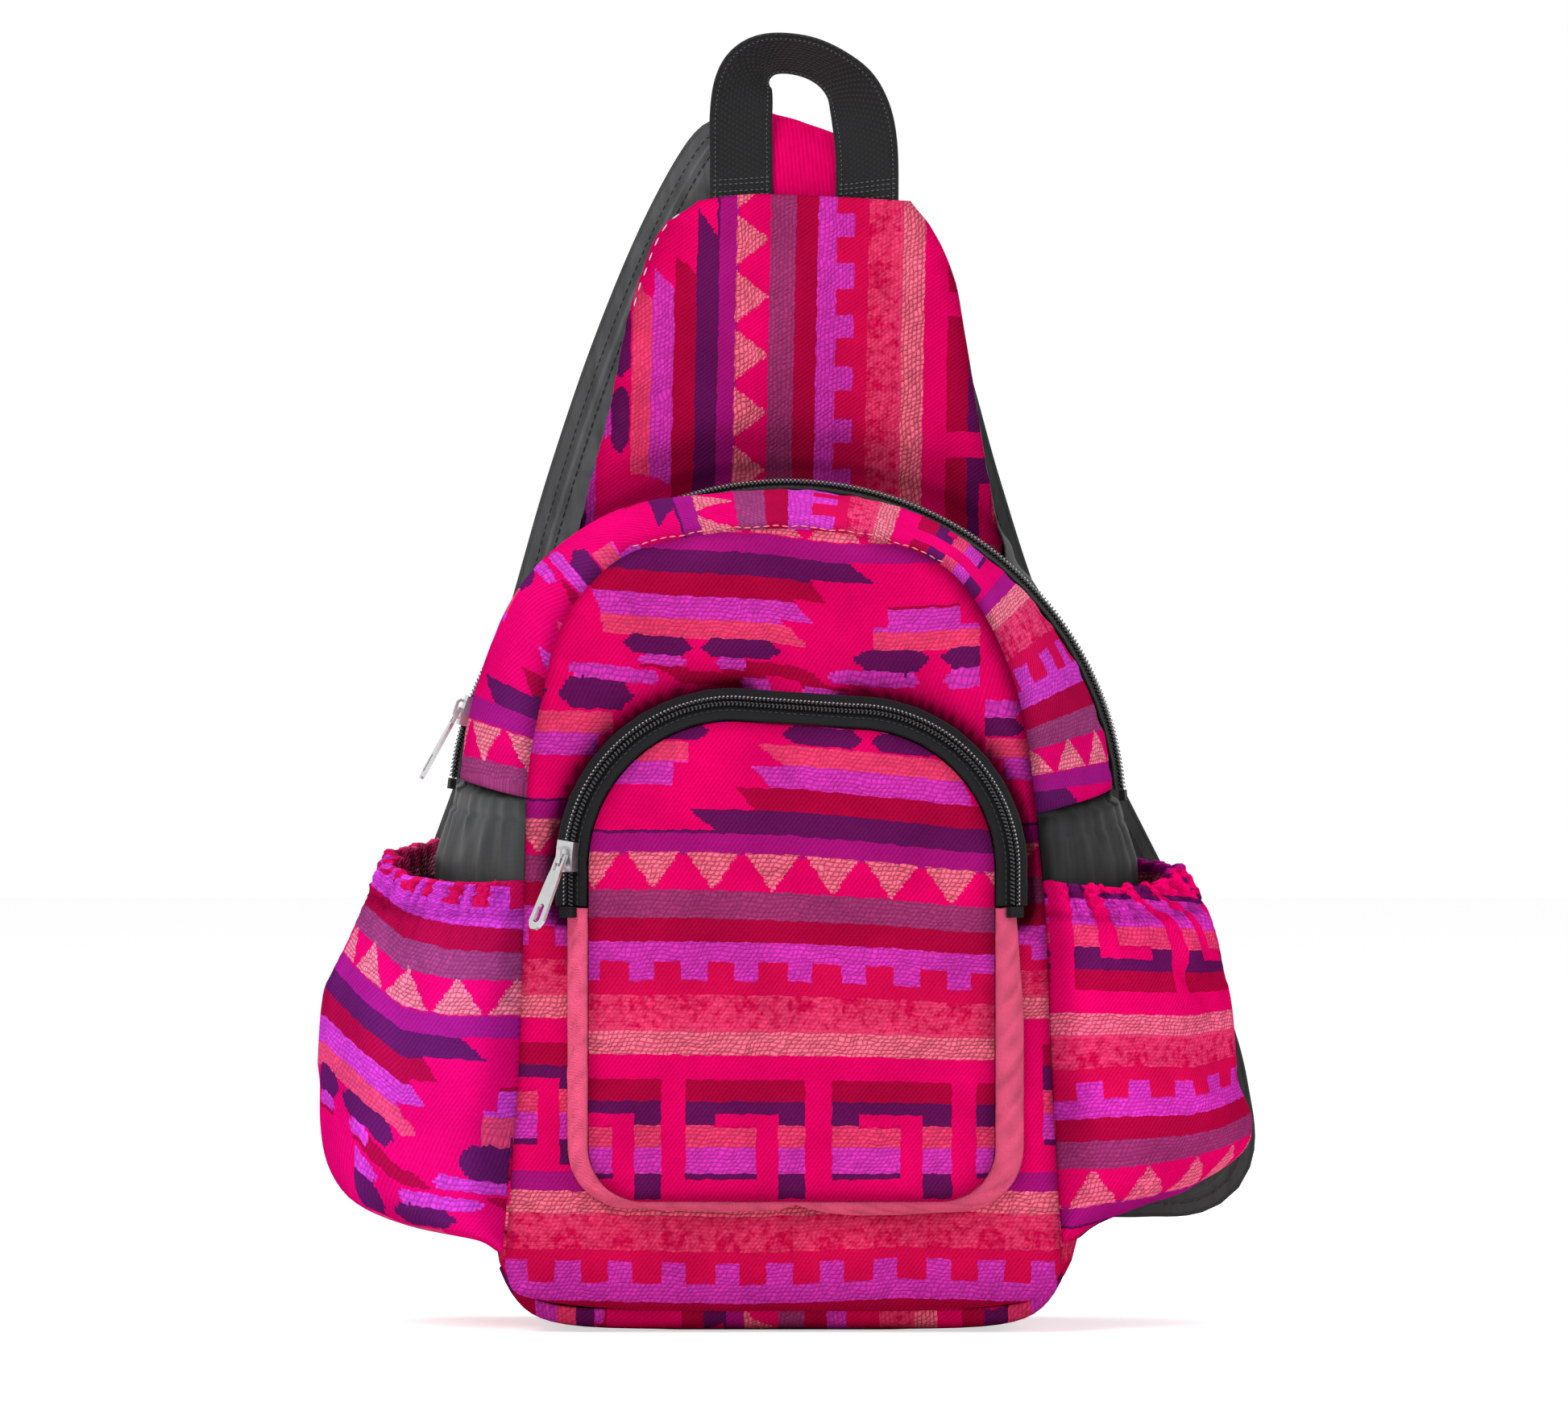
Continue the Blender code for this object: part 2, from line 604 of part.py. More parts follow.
def neck_side(sign, count):
    """The neck's side seam from its lower corner, on the rear edge of the main zip, to the top."""
    corner = main_arc_point(neck_angle(sign), *arc_radius(MAIN_TAPE + CLEAR))
    points = NECK_LEFT if sign < 0 else NECK_RIGHT
    first = Vector((points[0][0], NECK_SEAM, points[0][1]))
    path = [corner, corner.lerp(first, 0.5) + Vector((sign * 1.5, 0, 0))]
    path += [Vector((x, NECK_SEAM if z < 415.0 else NECK_TOP, z)) for x, z in points]
    return smooth_through(path, count)


def build_rear_gusset(sign):
    """Black nylon behind the main zip, from the side panel up to the neck."""
    radius, depth = arc_radius(MAIN_TAPE + CLEAR)
    low_angle = MAIN_ARC_START if sign < 0 else MAIN_ARC_END
    top_angle = neck_angle(sign) - sign * math.degrees(2.2 / radius)
    count = 10
    seams = side_seams(sign)
    low = seams[0][-1].y + SIDE_TOP_RISE
    top = Vector(NECK_LEFT[0] if sign < 0 else NECK_RIGHT[0]) - Vector((0, 2.4))
    above = [p for p in seams[1] if p.y > low + 1.0]
    chain = evenly([at_height(seams[1], low), *above, top], count)
    outward = Vector((sign, 0, 0.5)).normalized()
    shares = (0.0, 0.15, 0.35, 0.6, 0.85, 1.0)
    rows = []
    for k in range(count):
        f = k / (count - 1)
        a = main_arc_point(lerp(low_angle, top_angle, f), radius, depth)
        b = Vector((chain[k].x, BACK_SEAM, chain[k].y))
        swell = lerp(4.0, 1.0, f)
        rows.append([a.lerp(b, t) + outward * swell * math.sin(math.pi * t) for t in shares])
    sheet(f"rear_gusset_{side_name(sign)}", rows, "nylon", (0, 20, 200))


def build_upper_front_panel():
    """The striped neck, from the rear edge of the main zip up to the handle."""
    across = 13
    up = 12
    radius, back = arc_radius(MAIN_TAPE + CLEAR)
    left = neck_side(-1, up)
    right = neck_side(1, up)
    bottom = [
        main_arc_point(lerp(neck_angle(-1), neck_angle(1), k / (across - 1)), radius + 0.4, back)
        for k in range(across)
    ]
    top = []
    for k in range(across):
        u = k / (across - 1)
        lift = Vector((0, -4.0 * math.sin(math.pi * u), 4.0 * math.sin(math.pi * min(1.0, u * 3.0) / 2)))
        top.append(left[-1].lerp(right[-1], u) + lift)
    rows = []
    for j in range(up):
        v = j / (up - 1)
        row = []
        for k in range(across):
            u = k / (across - 1)
            ruled = left[j].lerp(right[j], u)
            lofted = bottom[k].lerp(top[k], v)
            corners = bottom[0].lerp(bottom[-1], u).lerp(top[0].lerp(top[-1], u), v)
            p = ruled + lofted - corners
            p.y -= NECK_SWELL * math.sin(math.pi * v) * math.sin(math.pi * u)
            row.append(p)
        rows.append(row)
    rows = [[row[0].lerp(row[1], 0.06), *row[1:-1], row[-1].lerp(row[-2], 0.06)] for row in rows]
    sheet("upper_front_panel", rows, "weave", (0, 60, 340))


def back_loop():
    """The back panel's edge as a closed loop across and up."""
    right = smooth_through(BACK_SIDE + [NECK_RIGHT[0]], 16)
    neck_right = smooth_through(NECK_RIGHT, 10)
    neck_left = list(reversed(smooth_through(NECK_LEFT, 10)))
    left = list(reversed(smooth_through([(-x, z) for x, z in BACK_SIDE] + [NECK_LEFT[0]], 16)))
    foot = smooth_through(BACK_FOOT, 14)
    return [*right[:-1], *neck_right, *neck_left, *left[1:], *foot[1:-1]]


def back_spine(p):
    return Vector((p.x * 0.25, min(max(p.y, BACK_SPINE_FOOT), BACK_SPINE_TOP)))


def build_back():
    """The padded back: an outer layer, a foam pad and a lining."""
    steps = [0.4, 3.0, 7.0]
    depths = [BODY_BACK - BACK_EDGE, BODY_BACK - BACK_EDGE * 0.26, BODY_BACK]
    rows = []
    for step, depth in zip(steps, depths):
        rows.append([
            Vector((q.x, depth, q.y))
            for q in (p + (back_spine(p) - p).normalized() * step for p in back_loop())
        ])
    sheet("back_panel", rows, "nylon", (0, 0, 200), closed=True, capped=True)
    layers = (
        ("back_pad", BODY_BACK - CLOTH - CLEAR, BACK_FOAM, "foam"),
        ("back_lining", BODY_BACK - CLOTH - CLEAR * 2 - BACK_FOAM, BACK_LINING, "nylon"),
    )
    for name, depth, thickness, kind in layers:
        loop = [
            p + (back_spine(p) - p).normalized() * BACK_PAD_MARGIN for p in back_loop() if p.y < BACK_PAD_TOP
        ]
        tube(name, [[Vector((p.x, y, p.y)) for p in loop] for y in (depth, depth - thickness)], kind)


def rounded(half_width, half_depth, radius, count):
    """Points round a rectangle with round corners."""
    out = []
    for corner in range(4):
        for k in range(count):
            a = math.radians(90.0 * corner + 90.0 * k / (count - 1))
            middle_x = (half_width - radius) * (1 if corner in (0, 3) else -1)
            middle_y = (half_depth - radius) * (1 if corner in (0, 1) else -1)
            out.append((middle_x + radius * math.cos(a), middle_y + radius * math.sin(a)))
    return out


def build_bottom_panel():
    """The bottom: flat where it stands and turned up all round."""
    middle = (BOTTOM_FRONT + BOTTOM_BACK) / 2
    half_depth = (BOTTOM_BACK - BOTTOM_FRONT) / 2
    rows = []
    for part, share in ((0.0, 1.0), (0.14, 0.72), (0.33, 0.42), (0.62, 0.15), (1.0, 0.0)):
        inset = BOTTOM_TURN * part
        backward = inset * BOTTOM_TURN_FORWARD
        row = []
        half_width = BOTTOM_HALF_WIDTH - inset * BOTTOM_SIDE_TURN
        for x, y in rounded(half_width, half_depth - inset, 8.0 + inset * 0.5, 9):
            side = (abs(x) / BOTTOM_HALF_WIDTH) ** 10
            rise = lerp(BOTTOM_FRONT_RISE, BOTTOM_SIDE_RISE, side) * share
            row.append(Vector((x + BOTTOM_MIDDLE, y + middle + backward, rise)))
        rows.append(row)
    sheet("bottom_panel", rows, "weave", (0, 0, 100), closed=True, capped=True)


# Front pocket


def pocket_edge(inset, count_corner=6):
    """The pocket face's closed edge across and up, at a distance inside the zip."""
    edge = [p - n * inset for p, n in pocket_track()]
    left = POCKET_LEFT_X - POCKET_LEFT_RADIUS + inset
    right = POCKET_RIGHT_X + POCKET_RIGHT_RADIUS - inset
    bottom = POCKET_BOTTOM + (inset - POCKET_BAND) + 2.0
    radius = POCKET_CORNER
    for x, start in ((right - radius, 0), (left + radius, -90)):
        for k in range(count_corner):
            a = math.radians(start - 90.0 * k / (count_corner - 1))
            edge.append(Vector((x + radius * math.cos(a), bottom + radius + radius * math.sin(a))))
    return edge


def pocket_plane():
    """Depth of the pocket zip's middle."""
    return BODY_FRONT - FRONT_DOME - POCKET_RISE


def build_front_pocket_face():
    rows = []
    middle = Vector(((POCKET_LEFT_X + POCKET_RIGHT_X) / 2, 135.0))
    front = pocket_plane() - POCKET_LIP
    for step, height in ((0.0, 0.0), (2.0, 2.6), (5.0, 4.4), (10.0, 5.6)):
        row = []
        for p in pocket_edge(POCKET_BAND):
            toward = Vector((middle.x + (p.x - middle.x) * 0.4, min(max(p.y, 90.0), 180.0))) - p
            q = p + toward.normalized() * step
            row.append(Vector((q.x, front - height, q.y)))
        rows.append(row)
    sheet("front_pocket_face", rows, "weave", (0, 0, 135), closed=True, capped=True)


def build_front_pocket_gusset():
    """Plain coral cloth down both sides of the pocket and under it."""
    edge = pocket_edge(POCKET_BAND)
    track = len(pocket_track())
    lower = [edge[track - 1], *edge[track:], edge[0]]
    chain = evenly(lower, 34)
    front = pocket_plane() - POCKET_LIP + 0.4
    foot = BODY_FRONT - FRONT_DOME - 0.4
    middle = Vector((2.0, 135.0))
    rows = []
    for p in chain:
        away = p - Vector((middle.x, min(max(p.y, 75.0), 200.0)))
        side = abs(away.normalized().x)
        more = POCKET_FLARE_RIGHT if p.x > 0 else 0.0
        drop = max(0.0, POCKET_ZIP_FOOT - p.y)
        flare = (POCKET_FLARE + more * min(1.0, drop / 40.0)) * side
        out = away.normalized()
        row = []
        for t in (0.0, 0.2, 0.5, 0.8, 1.0):
            q = p + out * (0.5 + flare * t ** 0.8 + 1.5 * math.sin(math.pi * t))
            row.append(Vector((q.x, lerp(front, foot, t), q.y)))
        rows.append(row)
    rows[0] = [p - Vector((0, 0, SEAM)) for p in rows[0]]
    rows[-1] = [p - Vector((0, 0, SEAM)) for p in rows[-1]]
    sheet("front_pocket_gusset", rows, "coral_cloth", (0, -70, 120))


def build_zip_stops(prefix, track, tilt, depth):
    """A small black end stop across the coil at each end of a zip."""
    top = TAPE_THICKNESS / 2 + CLEAR
    section = profile(box(-3.4, 3.4, top, top + 2.2), tilt, depth)
    for name, (point, normal), toward in (("left", track[0], -1), ("right", track[-1], 1)):
        tangent = Vector((-normal.y, normal.x)) * (1 if name == "left" else -1)
        stations = [(point + tangent * (0.35 + d), normal) for d in (0.0, 4.0)]
        tube(f"{prefix}_stop_{name}", along(stations, section), "nylon")


# Side pockets


def pocket_wall(sign, u, v, seams, inward=0.0, drop=0.0):
    """A point of the side pocket's wall: u from front to back, v up to the rim, or a place inside the hem."""
    profile_points = POCKET_SWELL_LEFT if sign < 0 else POCKET_SWELL_RIGHT
    swell, height = smooth_through(profile_points, 61)[round(v * 60)]
    t = lerp(POCKET_MARGIN, 1.0 - POCKET_MARGIN, 0.5 - 0.5 * math.cos(math.pi * u))
    round_off = math.sin(math.pi * u)
    rise = height / POCKET_RIM
    rim_back = RIM_BACK_LEFT if sign < 0 else RIM_BACK_RIGHT
    z = height + rise**2 * lerp(RIM_FRONT, rim_back, u) - RIM_DIP * rise**4 * math.sin(math.pi * min(1.0, u * 1.6))
    base = side_surface(sign, t, z, seams)
    out = POCKET_OFF + swell * round_off**0.6
    near = max(0.0, 1.0 - (POCKET_RIM - height) / GATHER_REACH)
    out += GATHER_DEPTH * near * math.cos(2 * math.pi * POCKET_GATHERS * u) * round_off**0.5
    facing = Vector((sign * (round_off + 0.25), -1.1 * math.cos(math.pi * u), 0)).normalized()
    point = base + Vector((sign * out, 0, -drop)) - facing * inward
    front = edge_depth(z) + SEAM
    beside = side_surface(sign, min(max((point.y - front) / (BACK_SEAM - front), 0.0), 1.0), z, seams)
    point.x = sign * max(sign * point.x, sign * beside.x + POCKET_OFF)
    return point


def build_side_pocket(sign):
    """A gathered pocket whose hem folds in over a band of elastic."""
    seams = side_seams(sign)
    columns = POCKET_GATHERS * 4 + 1
    shares = [k / (columns - 1) for k in range(columns)]
    levels = [(v, 0.0, 0.0) for v in (0.0, 0.1, 0.2, 0.3, 0.42, 0.55, 0.68, 0.8, 0.9, 1.0)]
    flap = HEM_FOLD + POCKET_CLOTH / 2
    levels += [(1.0, 0.5, -1.0), (1.0, flap, -1.0), (1.0, flap + 0.5, 0.5), (1.0, flap + 0.5, HEM)]
    rows = [[pocket_wall(sign, u, v, seams, inward, drop) for u in shares] for v, inward, drop in levels]
    name = side_name(sign)
    sheet(f"side_pocket_{name}", rows, "weave", (sign * 100, 0, 100), thickness=POCKET_CLOTH)
    inner = POCKET_CLOTH + CLEAR + 0.15
    corners = ((inner, 1.6), (inner + ELASTIC, 1.6), (inner + ELASTIC, HEM - 2.5), (inner, HEM - 2.5))
    band = [[pocket_wall(sign, u, 1.0, seams, inward, drop) for inward, drop in corners] for u in shares[2:-2]]
    tube(f"side_pocket_elastic_{name}", band, "elastic")


# Straps, yoke and handle


def smooth_with(points, values, count):
    """Points along a smooth curve, with a value at each that follows the curve too."""
    small = 0.01
    chain = smooth_through([(*p, v * small) for p, v in zip(points, values)], count)
    return [(p.to_3d(), p.w / small) for p in chain]


def strap_stations(sign, count=28):
    """Points down a strap, each with its outer edge's direction, its thickness direction and its width."""
    path = STRAP_LEFT if sign < 0 else STRAP_RIGHT
    points = [(x, y, z) for (x, z), y in zip(path, STRAP_DEPTHS)]
    centre = smooth_with(points, STRAP_WIDTHS, count)
    out = []
    for k, (p, width) in enumerate(centre):
        run = (centre[min(count - 1, k + 1)][0] - centre[max(0, k - 1)][0]).normalized()
        edge = Vector((-run.z, 0, run.x)).normalized() * sign
        thick = edge.cross(run)
        if thick.y < 0:
            thick = -thick
        trim = STRAP_TAPE_WIDTH + CLEAR
        out.append((p - edge * trim / 2, edge, thick, width - trim))
    return out


def strap_layer(name, sign, section, kind, start=0):
    """One layer of a strap; its section is a function of the strap's half width."""
    sections = []
    for p, edge, thick, width in strap_stations(sign)[start:]:
        sections.append([p + edge * w + thick * h for w, h in section(width / 2)])
    tube(name, sections, kind)


def build_strap(sign):
    """A padded strap: lining towards the bag, foam, striped weave behind, and half a zip on its outer edge."""
    side = side_name(sign)
    foam = STRAP_LINING + CLEAR
    foam_top = foam + STRAP_FOAM
    foam_middle = foam + STRAP_FOAM / 2
    cover = foam_top + CLEAR
    tape = STRAP_TAPE_DROP + STRAP_TAPE
    coil = tape + CLEAR
    rim = CLEAR + STRAP_TAPE_WIDTH

    def foam_section(half):
        low, high = half - STRAP_ROUND, half
        right = [(low, foam), (high, foam_middle), (low, foam_top)]
        return [*right, *[(-w, h) for w, h in reversed(right)]]

    strap_layer(f"strap_lining_{side}", sign, lambda half: box(-half, half, 0.0, STRAP_LINING), "nylon")
    strap_layer(f"strap_foam_{side}", sign, foam_section, "foam")
    strap_layer(f"strap_cover_{side}", sign, lambda half: box(-half, half, cover, cover + CLOTH), "weave", 1)
    strap_layer(f"strap_zip_tape_{side}", sign,
                lambda half: box(half + CLEAR, half + rim, STRAP_TAPE_DROP, tape), "nylon")
    strap_layer(f"strap_zip_coil_{side}", sign,
                lambda half: box(half + rim - COIL_WIDTH, half + rim, coil, coil + COIL_HEIGHT), "coil")


def build_strap_tab(sign):
    """Webbing that joins the strap's lower end to the back."""
    foot = TAB_LEFT_FOOT if sign < 0 else TAB_RIGHT_FOOT
    face = BODY_BACK + CLEAR
    corners = box(sign * TAB_START, sign * TAB_END, foot, foot + WEBBING)
    sections = [[Vector((x, y, z)) for x, z in corners] for y in (face, face + WEBBING_THICKNESS)]
    tube(f"strap_tab_{side_name(sign)}", sections, "webbing")


def build_yoke():
    """Striped cloth that folds over the top of the straps, higher at its left."""
    foot = min(z for y, z in YOKE_FOLD)
    rise = max(z for y, z in YOKE_FOLD) - foot
    rows = []
    for y, z in smooth_through(YOKE_FOLD, 13):
        share = (z - foot) / rise
        across = [lerp(YOKE_LEFT, YOKE_LEFT + YOKE_WIDTH, k / 6) for k in range(7)]
        rows.append([Vector((x, y, z + share * (YOKE_LIFT - YOKE_SLOPE * max(x, YOKE_LEVEL)))) for x in across])
    sheet("strap_yoke", rows, "weave", (0, 63.5, 430), thickness=CLOTH)


def build_handle():
    """A loop of webbing that turns edge on at its top left."""
    count = 36
    centre = smooth_with(HANDLE_PATH, HANDLE_TURNS, count)
    half_width, half_thick = WEBBING / 2, WEBBING_THICKNESS / 2
    corners = box(-half_width, half_width, -half_thick, half_thick)
    sections = []
    for k, (p, turn) in enumerate(centre):
        run = (centre[min(count - 1, k + 1)][0] - centre[max(0, k - 1)][0]).normalized()
        flat = Vector((run.z, 0, -run.x)).normalized()
        a = math.radians(turn)
        wide = flat * math.cos(a) + run.cross(flat) * math.sin(a)
        thin = run.cross(wide)
        sections.append([p + wide * i + thin * j for i, j in corners])
    tube("carry_handle", sections, "webbing")


def build():
    for obj in list(bpy.data.objects):
        bpy.data.objects.remove(obj)
    build_back()
    build_upper_front_panel()
    build_main_gusset()
    build_front_panel()
    build_bottom_panel()
    for sign in (-1, 1):
        build_side_panel(sign)
        build_rear_gusset(sign)
        build_side_pocket(sign)
        build_strap(sign)
        build_strap_tab(sign)
    build_front_pocket_face()
    build_front_pocket_gusset()
    zip_chain("pocket_zip", pocket_track(), POCKET_TILT, pocket_plane(), POCKET_TAPE, ("inner", "outer"))
    build_zip_stops("pocket_zip", pocket_track(), POCKET_TILT, pocket_plane())
    zip_chain("main_zip", main_track(), MAIN_TILT, MAIN_ARC_Y, MAIN_TAPE, ("front", "rear"))
    build_zip_stops("main_zip", main_track(), MAIN_TILT, MAIN_ARC_Y)
    pocket_arc = (POCKET_LEFT_X, POCKET_LEFT_Z, POCKET_LEFT_RADIUS)
    main_arc = (MAIN_ARC_X, MAIN_ARC_Z, MAIN_ARC_RADIUS)
    pocket_hold = zip_slider("pocket_slider", *pocket_arc, POCKET_SLIDER_ANGLE, POCKET_TILT, pocket_plane())
    main_hold = zip_slider("main_slider", *main_arc, MAIN_SLIDER_ANGLE, MAIN_TILT, MAIN_ARC_Y)
    zip_pull("pocket_pull", POCKET_PULL_LEAN, *pocket_hold)
    zip_pull("main_pull", MAIN_PULL_LEAN, *main_hold)
    build_yoke()
    build_handle()


build()
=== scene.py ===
"""The looks of a small woven backpack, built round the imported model.

Shapes are worked out in millimetres and scaled when a mesh is made. The
front faces -Y and +Z is up. Cloth coordinates are in picture points of the
pattern, 0.3 mm each.
"""

import math

import bmesh
import bpy
import numpy as np
from mathutils import Matrix, Vector


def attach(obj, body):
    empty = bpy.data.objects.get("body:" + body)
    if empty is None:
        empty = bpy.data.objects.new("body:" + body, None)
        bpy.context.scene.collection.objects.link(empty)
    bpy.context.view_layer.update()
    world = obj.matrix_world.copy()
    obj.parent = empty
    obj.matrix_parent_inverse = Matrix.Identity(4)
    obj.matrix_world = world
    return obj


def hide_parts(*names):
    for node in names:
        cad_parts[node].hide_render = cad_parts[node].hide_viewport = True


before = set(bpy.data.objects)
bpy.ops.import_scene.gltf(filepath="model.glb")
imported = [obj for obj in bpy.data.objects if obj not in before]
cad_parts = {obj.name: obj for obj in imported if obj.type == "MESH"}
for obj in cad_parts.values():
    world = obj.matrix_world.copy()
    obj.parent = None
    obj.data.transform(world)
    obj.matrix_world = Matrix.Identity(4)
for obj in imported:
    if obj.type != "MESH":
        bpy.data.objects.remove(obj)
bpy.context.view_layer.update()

MM = 0.001
POINT = 0.3  # millimetres to one point of the pattern
CENTRE_COLUMN = 980.0  # the picture column at x = 0
FLOOR_ROW = 1652.0  # the picture row at z = 0
CLOTH_UNIT = 1000.0  # points to one unit of the cloth coordinates
SIDES = {-1: "left", 1: "right"}
# The right side lies in shade and has its own copy of the nylon, with little shine
SIDE_NYLON = {-1: "nylon", 1: "shaded_side_nylon"}
DARKEST = 0.92  # the most that painted shade may darken a surface
STITCH_LIFT = 0.4  # a stitch's middle above its cloth, in its own thicknesses
STITCH_OVERLAP = 1.04

# The frame's own sizes, in millimetres, as the solids have them
BODY_FRONT = -57.0
BODY_BACK = 62.0
BACK_SEAM = 57.3
SIDE_TOP_RISE = 9.0
BOTTOM_HALF_WIDTH = 105.5
BOTTOM_MIDDLE = -2.5
BOTTOM_TURN = 15.0
BOTTOM_SIDE_TURN = 3.6
BOTTOM_TURN_FORWARD = 0.6
BOTTOM_FRONT = -53.0
BOTTOM_BACK = 57.9
BOTTOM_SIDE_RISE = 23.6
BOTTOM_FRONT_RISE = 7.2
CLOTH = 1.2
SEAM = 0.8
CLEAR = 0.3
FRONT_DOME = 9.0
FRONT_ROLL = 22.0
PANEL_FOOT = 24.0
SIDE_FOOT_STRIP = 84.0
SIDE_SWELL_FOOT = 4.0
SIDE_SWELL = 25.0
SIDE_SWELL_TOP = 19.0
SIDE_SWELL_HEIGHT = 175.0
MAIN_ARC_X = -1.0
MAIN_ARC_Z = 190.5
MAIN_ARC_RADIUS = 125.0
MAIN_ARC_Y = 4.0
MAIN_ARC_START = 173.0
MAIN_ARC_END = 5.0
MAIN_TILT = 80.0
MAIN_TAPE = 8.0
NECK_CORNER_ANGLE = 50.0
GUSSET_SWELL = 4.0
SHOULDER_SWELL = 11.3
SHOULDER_ANGLE = 137.0
SHOULDER_SPREAD = 30.0
POCKET_LEFT = (-20.5, 173.4, 60.1)
POCKET_RIGHT = (24.0, 172.5, 58.0)
POCKET_ZIP_FOOT = 159.0
TRACK_GAP = 1.5  # from the zip's straight ends up to its arcs
POCKET_BOTTOM = 48.0
POCKET_CORNER = 20.0
POCKET_RISE = 6.25
POCKET_TILT = 45.0
POCKET_TAPE = 8.0
POCKET_BAND = 6.4
POCKET_LIP = 5.4
POCKET_FLARE = 7.5
POCKET_FLARE_RIGHT = 3.0
POCKET_PLANE = BODY_FRONT - FRONT_DOME - POCKET_RISE
TAPE_THICKNESS = 0.8
CHAIN_SLOT = 0.55
COIL_WIDTH = 2.1
COIL_HEIGHT = 1.8
COIL_PITCH = 1.5
POCKET_GATHERS = 8
GATHER_DEPTH = 1.8
GATHER_REACH = 34.0
POCKET_CLOTH = 1.0
POCKET_OFF = 1.5
POCKET_MARGIN = 0.02
POCKET_RIM = 170.0
HEM = 12.0
RIM_FRONT = -3.0
RIM_BACK = {-1: 13.0, 1: 4.0}
RIM_DIP = 5.0
HEM_FOLD = 2.6
POCKET_SWELL = {
    -1: [(0.0, 30.0), (7.0, 33.5), (31.0, 38.0), (48.0, 46.0), (54.5, 58.0), (54.5, 74.0),
         (50.0, 96.0), (43.0, 124.0), (33.0, 142.0), (25.0, 157.0), (17.5, 170.0)],
    1: [(0.0, 34.0), (6.0, 39.0), (24.0, 47.0), (41.0, 55.0), (53.0, 66.0), (53.0, 78.0),
        (44.0, 94.0), (38.0, 118.0), (33.0, 134.0), (27.0, 152.0), (14.0, 170.0)],
}
STRAP_FOAM = 5.0
STRAP_LINING = 1.0
STRAP_TAPE = 1.0
STRAP_TAPE_WIDTH = 7.0
STRAP_TAPE_DROP = 0.4
TAB_START = 78.0
TAB_END = 112.0
TAB_FOOT = {-1: 46.0, 1: 50.0}
WEBBING = 24.0
WEBBING_THICKNESS = 1.6
YOKE_LEFT = -27.0
YOKE_WIDTH = 66.0
YOKE_SLOPE = 0.325
YOKE_LEVEL = -12.0
YOKE_LIFT = 4.35
NECK_SEAM = 53.0
NECK_TOP = 50.5
NECK_SWELL = 11.0
NECK_HEIGHT = 125.0
SWELL_STEPS = 240  # steps up a side pocket's wall in its table
WALL_ROWS = 74  # rows of a side pocket's mesh from its foot to its rim
GUARD_HALF_WIDTH = 13.0
GUARD_DEPTH = 6.0
GUARD_THICKNESS = 0.6
HANDLE_SEAMS = (427.4, 429.4, 431.4, 433.4)
HANDLE_SEAM_HALF = 11.0
HANDLE_EDGE = 9.8
TEETH_LENGTH = 0.44  # half a tooth along the zip, in pitches

FRONT_ARCH = [
    (-98.0, 198.0), (-96.6, 214.0), (-92.0, 237.0), (-86.5, 259.0), (-77.0, 275.0), (-60.0, 289.5),
    (-33.0, 296.5), (0.0, 298.8), (34.0, 294.5), (57.0, 285.0), (70.5, 270.0), (81.0, 249.0),
    (88.0, 224.0), (92.0, 192.0),
]
FRONT_LEFT = [(-106.0, 24.0), (-103.5, 60.0), (-100.5, 104.0), (-98.6, 173.0), (-98.0, 198.0)]
FRONT_RIGHT = [(92.0, 192.0), (95.5, 150.0), (97.0, 104.0), (99.5, 60.0), (101.0, 24.0)]
FRONT_FOOT = [(101.0, 24.0), (94.0, 13.5), (60.0, 8.6), (0.0, 8.0), (-60.0, 8.6), (-99.0, 13.5),
              (-106.0, 24.0)]
BACK_SIDE = [(103.0, 24.0), (109.0, 70.0), (114.0, 130.0), (115.0, 180.0), (111.5, 215.0), (103.0, 245.0),
             (91.0, 274.0), (82.0, 298.0)]
BACK_FOOT = [(-103.0, 24.0), (-96.0, 13.5), (-60.0, 8.6), (60.0, 8.6), (96.0, 13.5), (103.0, 24.0)]
NECK_LEFT = [(-80.0, 304.0), (-75.5, 322.0), (-69.5, 345.0), (-62.5, 380.0), (-56.5, 399.0), (-49.0, 415.0),
             (-35.0, 425.5)]
NECK_RIGHT = [(79.5, 304.0), (75.5, 325.0), (71.5, 350.0), (67.0, 377.0), (63.6, 395.0), (56.5, 412.0),
              (46.5, 425.0)]
STRAP_PATH = {
    -1: [(-17.0, 449.0), (-24.0, 438.0), (-37.0, 405.0), (-50.0, 362.0), (-66.0, 312.0), (-80.5, 262.0),
         (-99.0, 205.0), (-121.0, 150.0), (-136.0, 106.0), (-143.0, 77.0), (-138.0, 60.0), (-120.0, 53.0),
         (-102.0, 52.0)],
    1: [(12.0, 440.0), (17.0, 429.5), (27.0, 405.0), (40.0, 362.0), (53.5, 312.0), (70.0, 262.0),
        (96.0, 205.0), (126.0, 150.0), (147.0, 110.0), (156.0, 84.0), (155.0, 62.0), (135.0, 57.0),
        (104.0, 57.0)],
}
STRAP_DEPTHS = [61.0, 63.2, 70.0, 79.0, 86.0, 90.0, 90.5, 86.0, 79.0, 72.0, 67.0, 64.8, 64.6]
STRAP_WIDTHS = [28.0, 37.0, 46.0, 55.0, 57.0, 57.0, 55.0, 50.0, 44.0, 40.0, 43.0, 39.0, 38.0]
YOKE_FOLD = [(53.8, 419.0), (54.0, 440.0), (57.0, 449.0), (63.5, 453.0), (70.5, 449.0), (73.6, 440.0),
             (75.2, 431.0)]
